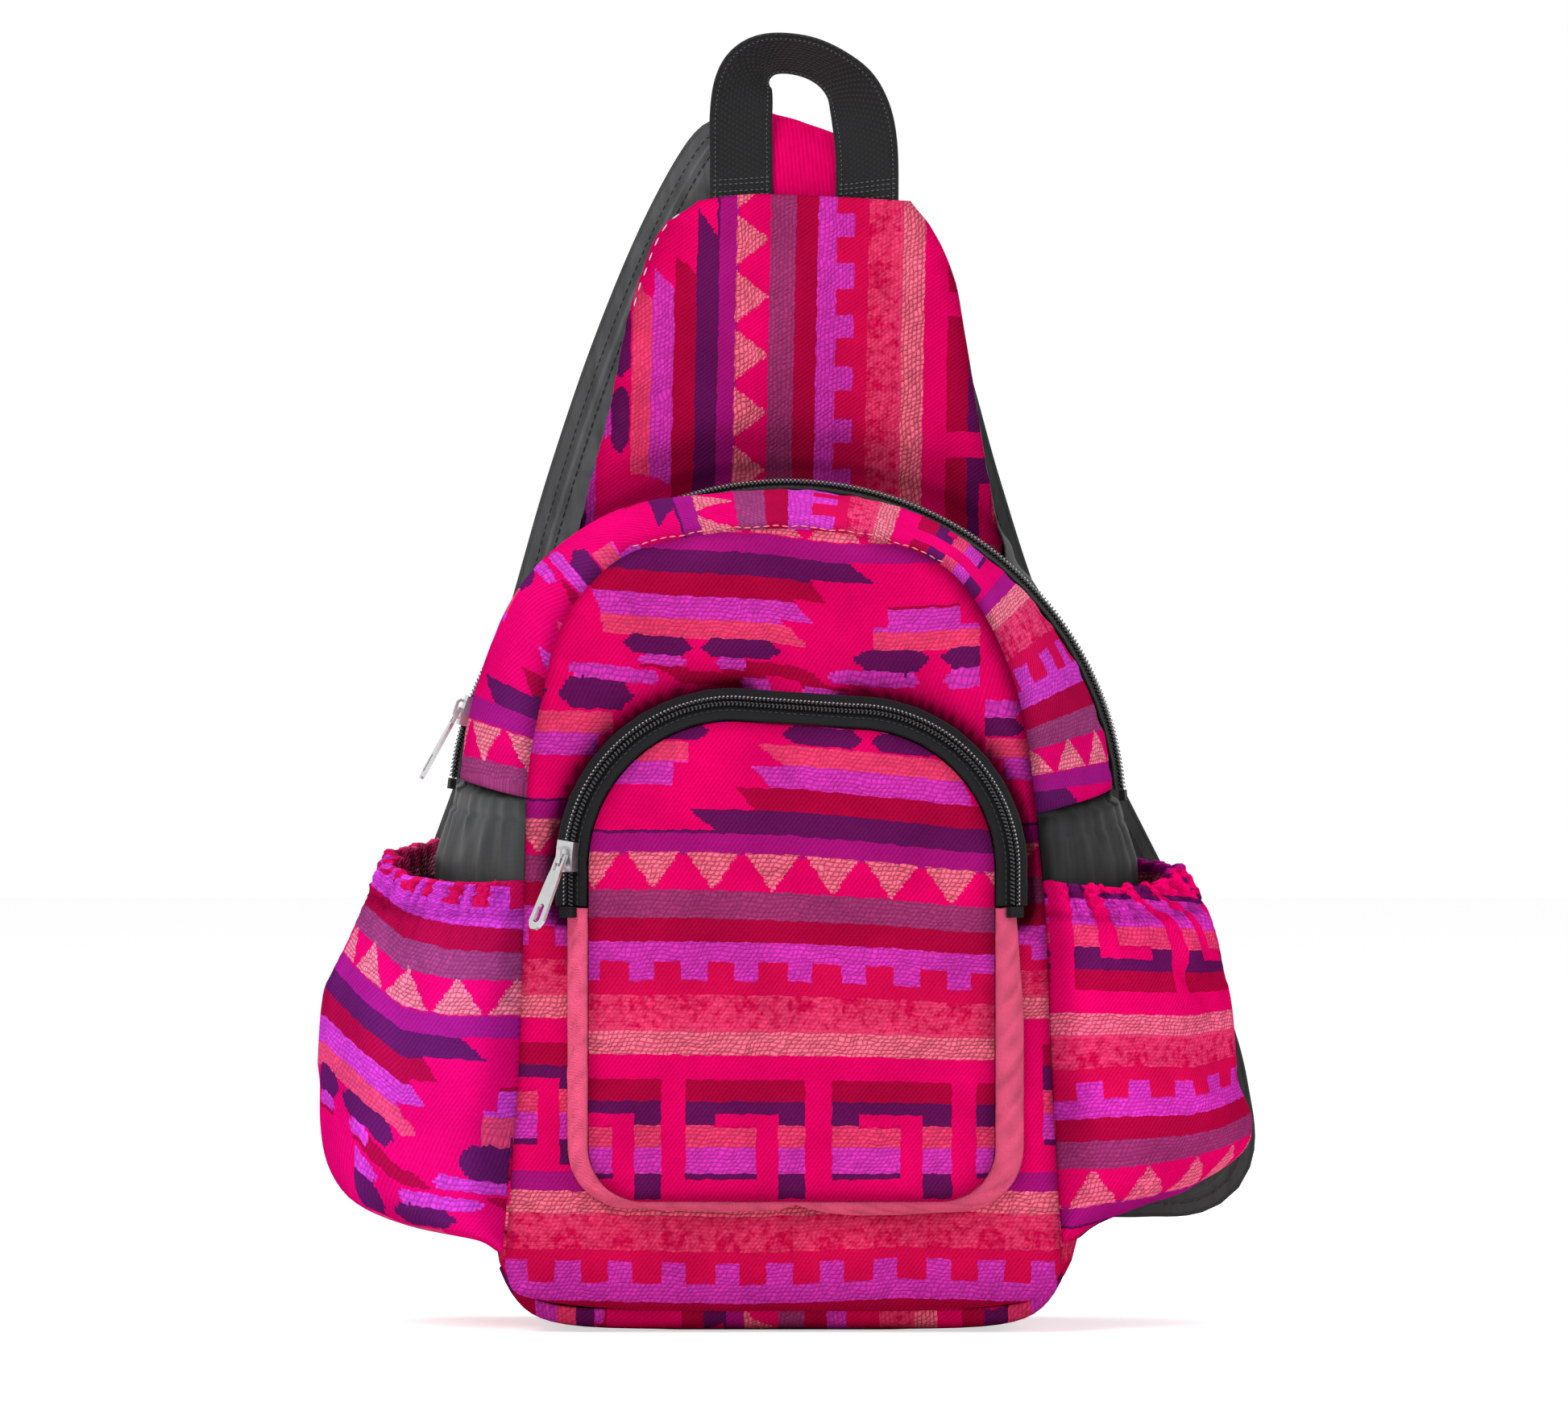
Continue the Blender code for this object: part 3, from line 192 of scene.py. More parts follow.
HANDLE_PATH = [
    (-18.4, 52.2, 421.0), (-18.4, 52.2, 440.0), (-18.4, 51.0, 459.0), (-16.2, 51.0, 473.5),
    (-7.6, 52.5, 480.8), (6.2, 53.5, 480.2), (18.0, 53.5, 474.0), (25.5, 52.6, 463.5), (29.2, 52.2, 446.0),
    (29.6, 52.2, 418.0),
]
HANDLE_TURNS = [0.0, 0.0, 6.0, 32.0, 52.0, 54.0, 48.0, 26.0, 2.0, 0.0]


# Curves and grids


def lerp(a, b, t):
    return a + (b - a) * t


def unit(v):
    return v / np.maximum(np.linalg.norm(v, axis=-1, keepdims=True), 1e-9)


def bell(value, width):
    """1 where a value is 0, fading to nothing over a few widths."""
    return np.exp(-((value / width) ** 2))


def eased(count):
    """Count shares from 0 to 1, closer together near both ends."""
    return 0.5 - 0.5 * np.cos(math.pi * np.linspace(0, 1, count))


def run_lengths(points):
    """How far along a chain each of its points lies."""
    return np.r_[0.0, np.cumsum(np.linalg.norm(np.diff(points, axis=0), axis=1))]


def sampled(values, lengths, want):
    """The rows of a table of values, given at some lengths and wanted at others."""
    return np.stack([np.interp(want, lengths, values[:, k]) for k in range(values.shape[1])], -1)


def spread(dense, count):
    """Count points at equal distances along a chain of points."""
    dense = np.asarray(dense, float)
    lengths = run_lengths(dense)
    return sampled(dense, lengths, np.linspace(0.0, lengths[-1], count))


def smooth_through(points, count):
    """Count points spread evenly along a smooth curve through the given ones."""
    p = np.array(points, float)
    ends = np.vstack([2 * p[0] - p[1], p, 2 * p[-1] - p[-2]])
    t = (np.arange(16) / 16)[:, None]
    dense = []
    for i in range(1, len(ends) - 2):
        before, a, b, after = ends[i - 1:i + 3]
        dense.append(0.5 * (2 * a + (b - before) * t + (2 * before - 5 * a + 4 * b - after) * t**2
                            + (3 * a - before - 3 * b + after) * t**3))
    return spread(np.vstack([*dense, p[-1:]]), count)


def trimmed(points, start, end):
    """A chain of points with a length cut off each end."""
    lengths = run_lengths(points)
    return sampled(points, lengths, np.linspace(start, lengths[-1] - end, len(points)))


def stack(*values):
    """Points from their coordinates, each a number or an array."""
    return np.stack(np.broadcast_arrays(*values), -1).astype(float)


def outward(grid, inside):
    """Unit normals of a grid that point away from a place inside."""
    found = unit(np.cross(np.gradient(grid, axis=1), np.gradient(grid, axis=0)))
    middle = np.sum(found * (grid - np.array(inside, float)))
    return found if middle > 0 else -found


def seam_roll(distance, depth=0.9, width=1.6):
    """How far cloth turns in beside a seam."""
    return -depth * bell(distance, width)


def waves(*terms):
    """A smooth uneven value from sine terms: each is a value, its frequency, its phase and its size."""
    return sum(size * np.sin(value * rate + phase) for value, rate, phase, size in terms)


def fold(a, b, start, end, width, height):
    """A soft ridge along a line on a surface with coordinates a and b, fading towards its ends."""
    start, end = np.array(start, float), np.array(end, float)
    run = end - start
    length = np.linalg.norm(run)
    run = run / length
    along = ((a - start[0]) * run[0] + (b - start[1]) * run[1]) / length
    off = (a - start[0]) * -run[1] + (b - start[1]) * run[0]
    taper = np.clip(np.minimum(along, 1 - along) * 4 + 0.35, 0, 1) * ((along > -0.09) & (along < 1.09))
    return height * taper**2 * bell(off, width)


def creased(a, b, creases):
    """The ridges of several creases together: each has two ends, a width and a height."""
    return sum(fold(a, b, (a0, b0), (a1, b1), width, height) for a0, b0, a1, b1, width, height in creases)


# Making objects


def new_object(name, mesh, kind, slot=None, replaces=()):
    """A piece of the bag from a mesh in millimetres."""
    mesh.transform(Matrix.Scale(MM, 4))
    mesh.materials.append(KINDS[kind])
    mesh.shade_smooth()
    obj = bpy.data.objects.new(name, mesh)
    bpy.context.scene.collection.objects.link(obj)
    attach(obj, "bag")
    if replaces:
        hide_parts(*replaces)
    return obj


def cloth_layer(mesh, cloth, faces):
    """Cloth coordinates for each corner, given in points at each grid place."""
    layer = mesh.uv_layers.new(name="cloth")
    corners = np.array([cloth[r, c] for face in faces for r, c in face], float) / CLOTH_UNIT
    layer.data.foreach_set("uv", corners.ravel())


def grid_mesh(name, grid, cloth=None, closed=False, caps=(), inside=None, shade=None):
    """A mesh of a grid of points, with rows one after another, and the painted shade at each point."""
    rows, columns = grid.shape[:2]
    around = columns if closed else columns - 1
    faces = []
    places = []
    for r in range(rows - 1):
        for c in range(around):
            d = (c + 1) % columns
            faces.append((r * columns + c, r * columns + d, (r + 1) * columns + d, (r + 1) * columns + c))
            places.append(((r, c), (r, c + 1), (r + 1, c + 1), (r + 1, c)))
    for row in caps:
        row = row % rows
        faces.append(tuple(row * columns + c for c in range(columns)))
        places.append(tuple((row, c) for c in range(columns)))
    if cloth is not None and closed and cloth.shape[1] == columns:
        cloth = np.concatenate([cloth, cloth[:, :1]], 1)
    mesh = bpy.data.meshes.new(name)
    mesh.from_pydata(grid.reshape(-1, 3).tolist(), [], faces)
    if cloth is not None:
        cloth_layer(mesh, cloth, places)
    if shade is not None:
        layer = mesh.attributes.new("shade", "FLOAT", "POINT")
        shade = np.broadcast_to(np.clip(shade, 0, DARKEST), grid.shape[:2])
        layer.data.foreach_set("value", shade.ravel())
    bm = bmesh.new()
    bm.from_mesh(mesh)
    bmesh.ops.recalc_face_normals(bm, faces=bm.faces)
    bm.normal_update()
    if inside is not None:
        facing = sum(f.normal.dot(f.calc_center_median() - Vector(inside)) * f.calc_area()
                     for f in bm.faces)
        if facing < 0:
            bmesh.ops.reverse_faces(bm, faces=bm.faces)
    bm.to_mesh(mesh)
    bm.free()
    return mesh


def sheet(name, grid, kind, inside, cloth=None, thickness=CLOTH, offset=-1.0, closed=False, caps=(),
          shade=None, **how):
    """A layer of cloth with its outer face on a grid of points."""
    obj = new_object(name, grid_mesh(name, grid, cloth, closed, caps, inside, shade), kind, **how)
    solid = obj.modifiers.new("thickness", "SOLIDIFY")
    solid.thickness = thickness * MM
    solid.offset = offset
    solid.use_even_offset = False
    return obj


def merged(name, parts, kind, **how):
    """One object of many small closed meshes, given as points and faces."""
    points = []
    faces = []
    for part_points, part_faces in parts:
        start = len(points)
        points.extend(part_points)
        faces.extend(tuple(start + i for i in face) for face in part_faces)
    mesh = bpy.data.meshes.new(name)
    mesh.from_pydata([tuple(p) for p in points], [], faces)
    mesh.update()
    return new_object(name, mesh, kind, **how)


def bead(rings=5, around=8):
    """A round-ended unit bead along its first axis: its points and faces."""
    points = [(-1.0, 0.0, 0.0)]
    for r in range(1, rings):
        a = math.pi * r / rings
        for k in range(around):
            b = 2 * math.pi * k / around
            points.append((-math.cos(a), math.sin(a) * math.cos(b), math.sin(a) * math.sin(b)))
    points.append((1.0, 0.0, 0.0))
    faces = [(0, 1 + (k + 1) % around, 1 + k) for k in range(around)]
    for r in range(rings - 2):
        low = 1 + r * around
        for k in range(around):
            n = (k + 1) % around
            faces.append((low + k, low + n, low + around + n, low + around + k))
    last = len(points) - 1
    low = last - around
    faces.extend((low + k, low + (k + 1) % around, last) for k in range(around))
    return np.array(points), faces


def stitches(name, path, face, length=2.6, gap=0.9, thickness=0.32, kind="thread", **how):
    """A row of stitches along a path of points, lying on a surface with the given normals."""
    lengths = run_lengths(path)
    count = max(1, int(lengths[-1] // (length + gap)))
    shape, faces = bead()
    parts = []
    for k in range(count):
        at = (k + 0.5) * lengths[-1] / count
        start, end = (sampled(path, lengths, at + s * length / 2) for s in (-1, 1))
        up = unit(sampled(face, lengths, at))
        run = end - start
        half = np.linalg.norm(run) / 2
        run = run / max(2 * half, 1e-6)
        side = np.cross(up, run)
        middle = (start + end) / 2 + up * (thickness * STITCH_LIFT)
        around = shape[:, 1:2] * side + shape[:, 2:] * up
        points = middle + shape[:, :1] * run * half * STITCH_OVERLAP + around * thickness
        parts.append((points, faces))
    return merged(name, parts, kind, **how)


# Materials


def srgb(red, green, blue):
    """A colour given as it shows, from 0 to 255."""
    return *(((c / 255 + 0.055) / 1.055) ** 2.4 if c > 10 else c / 3294.6 for c in (red, green, blue)), 1.0


HOT = srgb(228, 4, 97)
CRIMSON = srgb(210, 12, 76)
RED = srgb(172, 8, 59)
PLUM = srgb(98, 20, 84)
MAGENTA = srgb(166, 20, 118)
VIOLET = srgb(214, 52, 178)
MAUVE = srgb(158, 52, 108)
SALMON = srgb(234, 60, 108)
CORAL = srgb(250, 108, 136)


class Value:
    """A node's number or colour. Plain arithmetic with it makes more nodes."""

    def __init__(self, tree, socket):
        self.tree = tree
        self.socket = socket

    def __add__(self, other):
        return self.tree.math("ADD", self, other)

    def __radd__(self, other):
        return self.tree.math("ADD", other, self)

    def __sub__(self, other):
        return self.tree.math("SUBTRACT", self, other)

    def __rsub__(self, other):
        return self.tree.math("SUBTRACT", other, self)

    def __mul__(self, other):
        return self.tree.math("MULTIPLY", self, other)

    def __truediv__(self, other):
        return self.tree.math("DIVIDE", self, other)

    def __gt__(self, other):
        return self.tree.math("GREATER_THAN", self, other)

    def __lt__(self, other):
        return self.tree.math("LESS_THAN", self, other)

    def __abs__(self):
        return self.tree.math("ABSOLUTE", self)


class Tree:
    """Short names for making the nodes of one tree."""

    def __init__(self, tree):
        self.tree = tree

    def node(self, kind, **settings):
        made = self.tree.nodes.new(kind)
        for key, value in settings.items():
            setattr(made, key, value)
        return made

    def put(self, value, socket):
        """Links a value to a socket, or sets the socket to a number or a colour."""
        if isinstance(value, Value):
            value = value.socket
        if isinstance(value, bpy.types.NodeSocket):
            self.tree.links.new(value, socket)
        else:
            socket.default_value = value

    def fill(self, node, **given):
        """Gives a node's inputs by name, with _ for a space."""
        for name, value in given.items():
            self.put(value, node.inputs[name.replace("_", " ")])

    def values(self, node):
        """What a node gives out."""
        return [Value(self, socket) for socket in node.outputs]

    def fed(self, kind, *given, **settings):
        """What a new node gives out when its first inputs are given."""
        made = self.node(kind, **settings)
        for value, socket in zip(given, made.inputs):
            self.put(value, socket)
        return self.values(made)

    def math(self, operation, a, b=0.0, c=0.0):
        return self.fed("ShaderNodeMath", a, b, c, operation=operation)[0]

    def low(self, a, b):
        return self.math("MINIMUM", a, b)

    def high(self, a, b):
        return self.math("MAXIMUM", a, b)

    def floor(self, value):
        return self.math("FLOOR", value)

    def sine(self, value):
        return self.math("SINE", value)

    def between(self, value, start, end):
        return (value > start) * (value < end)

    def wrap(self, value, start, end):
        return self.math("WRAP", value, end, start)

    def choose(self, factor, a, b):
        """A number or a colour: a where the factor is 0, b where it is 1."""
        colour = any(isinstance(v, tuple) or (isinstance(v, Value) and v.socket.type == "RGBA")
                     for v in (a, b))
        made = self.node("ShaderNodeMix", data_type="RGBA" if colour else "FLOAT")
        first, second, out = (6, 7, 2) if colour else (2, 3, 0)
        self.put(factor, made.inputs[0])
        self.put(a, made.inputs[first])
        self.put(b, made.inputs[second])
        return self.values(made)[out]

    def multiplied(self, colour, by):
        """A colour times another one."""
        made = self.node("ShaderNodeMix", data_type="RGBA", blend_type="MULTIPLY")
        self.put(1.0, made.inputs[0])
        self.put(colour, made.inputs[6])
        self.put(by, made.inputs[7])
        return self.values(made)[2]

    def tinted(self, colour, amount):
        """A colour made darker or brighter by a number."""
        return self.multiplied(colour, self.fed("ShaderNodeCombineColor", amount, amount, amount)[0])

    def ramp(self, value, start, end, stops, interpolation):
        """A colour ramp over a value that runs from start to end."""
        made = self.node("ShaderNodeValToRGB")
        ramp = made.color_ramp
        ramp.interpolation = interpolation
        first, *others, last = [((place - start) / (end - start), colour) for place, colour in stops]
        for element, (place, colour) in zip(ramp.elements, (first, last)):
            element.position, element.color = place, colour
        for place, colour in others:
            ramp.elements.new(place).color = colour
        self.put((value - start) / (end - start), made.inputs[0])
        return self.values(made)[0]

    def bands(self, value, start, end, stops):
        """Flat bands of colour over a value: each stop is where a colour starts."""
        return self.ramp(value, start, end, stops, "CONSTANT")

    def lightness(self, grey):
        """A grey colour as a number."""
        return self.fed("ShaderNodeSeparateColor", grey)[0]

    def curve(self, value, start, end, stops, low, high):
        """A number that follows straight lines between stops."""
        levels = [(place, (y - low) / (high - low)) for place, y in stops]
        greys = [(place, (level, level, level, 1.0)) for place, level in levels]
        return self.lightness(self.ramp(value, start, end, greys, "LINEAR")) * (high - low) + low

    def noise(self, vector, scale, detail=2.0, rough=0.5, kind="3D"):
        made = self.node("ShaderNodeTexNoise", noise_dimensions=kind)
        self.fill(made, Vector=vector, Scale=scale, Detail=detail, Roughness=rough)
        return self.values(made)[0]

    def vector(self, x, y):
        return self.fed("ShaderNodeCombineXYZ", x, y)[0]

    def axes(self, vector):
        """The three coordinates of a place."""
        return self.fed("ShaderNodeSeparateXYZ", vector)

    def cloth(self):
        """The cloth coordinates in points, along the bands and across them."""
        u, w, _ = self.axes(self.fed("ShaderNodeUVMap", uv_map="cloth")[0])
        return u * CLOTH_UNIT, w * CLOTH_UNIT

    def solid(self):
        """The place in the piece's own space, in metres."""
        return self.node("ShaderNodeTexCoord").outputs["Object"]

    def shaded(self, colour):
        """A colour darkened by the painted shade that a mesh gives at each point."""
        dark = self.node("ShaderNodeAttribute", attribute_name="shade").outputs["Fac"]
        return self.tinted(colour, 1.0 - Value(self, dark))

    def threads(self, place, size, slant):
        """Crossing threads of one size in millimetres, from 0 to 1."""
        x, y, z = self.axes(place)
        rate = 2 * math.pi / (size * MM)
        return 0.5 + self.sine((x + y * slant) * rate) * self.sine(z * rate) * 0.5

    def seen_directly(self):
        """1 for the rays that show the background as it is, also mirrored or through glass."""
        rays = self.node("ShaderNodeLightPath").outputs
        seen = self.high(rays["Is Camera Ray"], rays["Is Glossy Ray"])
        return self.high(seen, rays["Is Transmission Ray"])


# The pattern repeats over this many points, mirrored about its star line
REPEAT = 1028.0
BAND_STOPS = [
    (0, HOT), (38, SALMON), (64, VIOLET), (92, RED), (118, PLUM), (145, MAGENTA), (170, HOT), (212, MAUVE),
    (242, RED), (270, VIOLET), (297, CRIMSON), (335, SALMON), (378, CORAL), (408, HOT), (590, HOT),
    (596, MAGENTA), (620, CORAL), (650, SALMON), (693, CRIMSON), (731, VIOLET), (758, RED), (786, MAUVE),
    (816, HOT), (858, MAGENTA), (883, PLUM), (910, RED), (936, VIOLET), (964, SALMON), (990, HOT),
]
# How open the weave is in each band: loops stand out in the open ones
GREY = [(v, v, v, 1.0) for v in (0.12, 0.45, 0.6, 1.0)]
CLOSE, HALF, LOOSE, OPEN = GREY
OPEN_STOPS = [
    (0, CLOSE), (38, HALF), (64, LOOSE), (92, CLOSE), (170, CLOSE), (212, HALF), (242, CLOSE), (270, LOOSE),
    (297, CLOSE), (335, HALF), (378, OPEN), (408, CLOSE), (596, CLOSE), (620, OPEN), (650, HALF),
    (693, CLOSE), (731, LOOSE), (758, CLOSE), (786, HALF), (816, CLOSE), (936, LOOSE), (964, HALF),
    (990, CLOSE),
]
THREAD = 3.0  # figures step by this many points
ARROWS = (-460.0, 130.0)  # one repeat of the arrows and stars along the band
FIGURES = ("Arrow", "Turned arrow", "Triangle", "Tooth", "Block")


def weave_group():
    """The striped weave: colour and relief from a place on the cloth and the places of the figures."""
    group = bpy.data.node_groups.new("striped_weave", "ShaderNodeTree")
    names = ("Along", "Across", *FIGURES)
    for name in names:
        group.interface.new_socket(name, in_out="INPUT", socket_type="NodeSocketFloat")
    group.interface.new_socket("Colour", in_out="OUTPUT", socket_type="NodeSocketColor")
    group.interface.new_socket("Height", in_out="OUTPUT", socket_type="NodeSocketFloat")
    t = Tree(group)
    raw_u, raw_w, arrow, turned, triangle, tooth, block = t.values(t.node("NodeGroupInput"))[:len(names)]
    place = t.vector(raw_u, raw_w)
    # Threads are never quite straight
    u = raw_u + (t.noise(place, 0.06, kind="2D") - 0.5) * 5.0
    w = raw_w + (t.noise(t.vector(raw_u + 911.0, raw_w), 0.07, kind="2D") - 0.5) * 5.0
    m = t.wrap(w, 0.0, REPEAT)
    f = t.low(m, REPEAT - m)
    # Figures keep to whole threads
    us, fs = (t.floor(value / THREAD) * THREAD for value in (u, f))
    colour = t.bands(m, 0.0, REPEAT, BAND_STOPS)
    loose = t.lightness(t.bands(m, 0.0, REPEAT, OPEN_STOPS))
    # Arrow groups towards the star line
    x = t.wrap(t.choose(m < REPEAT / 2, us - arrow, turned - us), *ARROWS)
    right_edge = [(30, -86), (38, -86), (63.9, -118), (64, -76), (91.9, -103), (92, -61), (117.9, -82),
                  (118, 0), (145, -36), (150, -36)]
    left_edge = [(30, -334), (63.9, -340), (64, -340), (91.9, -352), (92, -450), (117.9, -438),
                 (118, -460), (145, -424), (150, -424)]
    right, left = (t.curve(fs, 30, 150, edge, -500, 200) for edge in (right_edge, left_edge))
    inside = (x > left) * (x < right)
    high_part = fs > 63.9
    short = (x > high_part * 18.0 - 2.0) * (x < 130.0 - high_part * 24.0) * (f < 92.0)
    gap = t.between(f, 33.0, 145.0) * (1.0 - t.high(inside, short))
    colour = t.choose(gap, colour, HOT)
    loose = t.choose(gap, loose, 0.12)
    # The star line itself, in three layers
    blotch = [(-460, 0), (-290, 0), (-270, 14), (-250, 14), (-232, 0), (-186, 0), (-160, 12), (-90, 12),
              (-62, 0), (-40, 0), (-30, 0), (130, 0)]
    sliver = [(-460, 0), (-294, 0), (-284, 6), (-240, 6), (-232, 0), (-198, 0), (-190, 6), (-164, 6),
              (-156, 0), (-60, 0), (-50, 6), (46, 6), (56, 0), (84, 0), (94, 6), (130, 6)]
    boat = [(-460, 0), (-312, 0), (-296, 13), (-240, 13), (-224, 0), (-216, 0), (-200, 13), (-132, 13),
            (-115, 0), (-28, 0), (-10, 13), (50, 13), (68, 0), (80, 0), (96, 13), (130, 13)]
    layers = ((blotch, 0.0, RED, 0.12), (sliver, 7.0, VIOLET, 0.6), (boat, 25.0, PLUM, 0.12))
    for outline, middle, paint, open_here in layers:
        here = (t.curve(x, *ARROWS, outline, 0, 20) > abs(fs - middle)) * (f < 38.0)
        colour = t.choose(here, colour, paint)
        loose = t.choose(here, loose, open_here)
    # Triangles, teeth and notches
    slope = (1.0 - (fs - 170.0) / 41.0) * 31.5
    here = (abs(t.wrap(us - triangle, -36.6, 36.6)) < slope) * t.between(f, 170.0, 212.0)
    colour = t.choose(here, colour, CORAL)
    loose = t.choose(here, loose, 1.0)
    in_tooth = abs(t.wrap(us - tooth, -32.6, 32.6)) < 15.5
    here = in_tooth * t.between(f, 288.0, 320.0)
    colour = t.choose(here, colour, VIOLET)
    loose = t.choose(here, loose, 0.6)
    notch = in_tooth * t.between(f, 329.0, 357.0)
    blotchy = (t.noise(place, 0.09, 2.0, 0.6, "2D") - 0.42) * 3.2
    blotchy = t.low(t.high(blotchy + notch * 0.45, 0.0), 1.0)
    colour = t.choose(t.between(f, 329.0, 378.0) * blotchy, colour, CRIMSON)
    # Blocks in the middle of the repeat
    r = m - 440.0
    c = t.wrap(us - block, 0.0, 177.6)
    columns = (
        (0.0, 35.0, [(57, SALMON), (85, VIOLET), (118, PLUM), (125, HOT)]),
        (35.0, 85.0, [(43, HOT), (60, SALMON), (85, VIOLET), (118, PLUM), (125, HOT)]),
        (85.0, 112.0, [(43, HOT)]),
        (112.0, 147.0, [(57, SALMON), (85, VIOLET), (118, PLUM)]),
    )
    zone = t.between(r, 0.0, 150.0)
    for start, end, stops in columns:
        here = zone * t.between(c, start - 0.1, end - 0.1)
        stops = [(0, RED), (27, PLUM), *stops, (150, HOT)]
        colour = t.choose(here, colour, t.bands(r, 0.0, 150.0, stops))
    smooth = t.high(t.between(c, 85.0, 112.0), c > 147.0)
    loose = t.choose(zone * t.between(r, 57.0, 118.0) * (1.0 - smooth), loose, 0.6)
    # Loops of thread in the open bands, a fine twill elsewhere
    drift = t.noise(place, 0.03, kind="2D")
    row = (raw_w + drift * 9.0) / 5.0
    shift = t.math("FLOORED_MODULO", t.floor(row), 2.0) * 0.5
    column = (raw_u + drift * 14.0) / 6.8 + shift
    across_loop, down_loop = (t.math("FRACT", value) * 2.0 - 1.0 for value in (column, row))
    lean = across_loop + down_loop * 0.5
    loop = (1.0 - lean * lean) * (1.0 - down_loop * down_loop)
    loop = t.math("POWER", t.high(loop, 0.0), 0.6)
    twill = t.sine(raw_u * 1.15 + raw_w * 0.85) * 0.5 + 0.5
    cell_node = t.node("ShaderNodeTexWhiteNoise", noise_dimensions="2D")
    t.fill(cell_node, Vector=t.vector(t.floor(column), t.floor(row)))
    cell = t.values(cell_node)[0]
    fibre = t.noise(place, 0.9, 2.0, 0.7, "2D")
    cloudy = t.noise(place, 0.012, kind="2D")
    shade = t.choose(loose, 0.82 + twill * 0.26, (0.5 + loop * 0.62) * (0.78 + cell * 0.44))
    shade = shade * (0.78 + fibre * 0.44) * (0.78 + cloudy * 0.44)
    height = t.choose(loose, twill * 0.16, loop * 0.55) + fibre * 0.1
    t.fill(t.node("NodeGroupOutput"), Colour=t.tinted(colour, shade), Height=height)
    return group


def new_material(name):
    """A new material, its tree and its shader."""
    made = bpy.data.materials.new(name)
    made.use_nodes = True
    tree = Tree(made.node_tree)
    return made, tree, made.node_tree.nodes["Principled BSDF"]


def bumped(t, shader, height):
    """Relief from a height in millimetres."""
    bump = t.node("ShaderNodeBump")
    t.fill(bump, Distance=MM, Height=height)
    t.fill(shader, Normal=bump.outputs[0])


def weave(name, places=(0.0,) * len(FIGURES), tint=None):
    """The striped weave with its figures at given places along the bands, and a tint of painted light if
    one is given.
    """
    made, t, shader = new_material(name)
    node = t.node("ShaderNodeGroup")
    node.node_tree = bpy.data.node_groups.get("striped_weave") or weave_group()
    for value, socket in zip((*t.cloth(), *places), node.inputs):
        t.put(value, socket)
    colour = t.shaded(node.outputs["Colour"])
    # The tint is painted light: a lighter, more lilac cast where light falls on a piece
    if tint:
        colour = t.multiplied(colour, (*tint, 1.0))
    t.fill(shader, Base_Color=colour, Roughness=0.88, Specular_IOR_Level=0.0)
    bumped(t, shader, node.outputs["Height"])
    return made


def plain_cloth(name, colour, variation=0.25, thread=0.55, depth=0.14, roughness=0.8, sheen=0.1):
    """A plain weave of fine threads, with soft unevenness."""
    made, t, shader = new_material(name)
    place = t.solid()
    threads = t.threads(place, thread, 0.8)
    patches = t.noise(place, 40.0, 3.0, 0.55)
    fibre = t.noise(place, 1500.0, 2.0, 0.6)
    shade = (1.0 - variation / 2 + patches * variation) * (0.85 + threads * 0.22) * (0.85 + fibre * 0.3)
    t.fill(shader, Base_Color=t.shaded(t.tinted(colour, shade)), Roughness=roughness,
           Specular_IOR_Level=0.12, Sheen_Weight=sheen, Sheen_Roughness=0.4)
    bumped(t, shader, threads * depth + fibre * (depth * 0.7))
    return made


def nylon(name, colour, specular=0.33):
    """Smooth black nylon with a faint grain, soft changes in its shine, and streaks that are both creases
    in its surface and painted sheen in its colour.
    """
    made, t, shader = new_material(name)
    place = t.solid()
    threads = t.threads(place, 0.7, 1.0)
    patches = t.noise(place, 60.0, 3.0, 0.6)
    stretched = t.node("ShaderNodeMapping")
    t.fill(stretched, Vector=place, Scale=(260.0, 260.0, 24.0))
    streaks = t.noise(stretched.outputs[0], 1.0, 3.0, 0.5)
    # The streaks are painted into the colour as lighter and darker bands of sheen
    shade = (0.75 + patches * 0.5) * (0.9 + threads * 0.2) * (0.3 + streaks * 1.4)
    t.fill(shader, Base_Color=t.shaded(t.tinted(colour, shade)), Roughness=0.34 + patches * 0.25,
           Specular_IOR_Level=specular, Sheen_Weight=specular / 11, Sheen_Roughness=0.35)
    bumped(t, shader, threads * 0.05 + streaks * 0.35)
    return made


def webbing():
    """Heavy webbing in a fine herringbone: ribs that change their lean."""
    made, t, shader = new_material("black_webbing")
    u, w = t.cloth()
    across = u * POINT
    run = w * POINT
    from_edge = across + 40.0
    column_width, rib_pitch = 1.5, 2.1
    lean = t.floor(from_edge / column_width) * (column_width / 2)
    rib = 0.5 + t.sine((run + lean) * (2 * math.pi / rib_pitch)) * 0.5
    column = 0.5 + t.sine(from_edge * (2 * math.pi / column_width)) * -0.5
    fibre = t.noise(t.vector(across, run), 2.5, 2.0, 0.6, "2D")
    crossing = t.math("POWER", rib * column, 1.4)
    shade = (0.5 + crossing * 3.2) * (0.6 + fibre * 0.8)
    t.fill(shader, Base_Color=t.tinted(srgb(17, 17, 19), shade), Roughness=0.7, Specular_IOR_Level=0.25,
           Sheen_Weight=0.05)
    bumped(t, shader, crossing * 0.5 + fibre * 0.12)
    return made


def simple(name, colour, roughness, scale, variation=0.3, depth=0.05, metal=0.0, specular=0.5):
    """A smooth finish with fine unevenness in its colour, shine and surface."""
    made, t, shader = new_material(name)
    place = t.solid()
    patches = t.noise(place, scale, 3.0, 0.6)
    shade = 1.0 - variation / 2 + patches * variation
    t.fill(shader, Base_Color=t.tinted(colour, shade), Roughness=roughness - 0.08 + patches * 0.16,
           Metallic=metal, Specular_IOR_Level=specular)
    bumped(t, shader, t.noise(place, scale * 4) * depth)
    return made


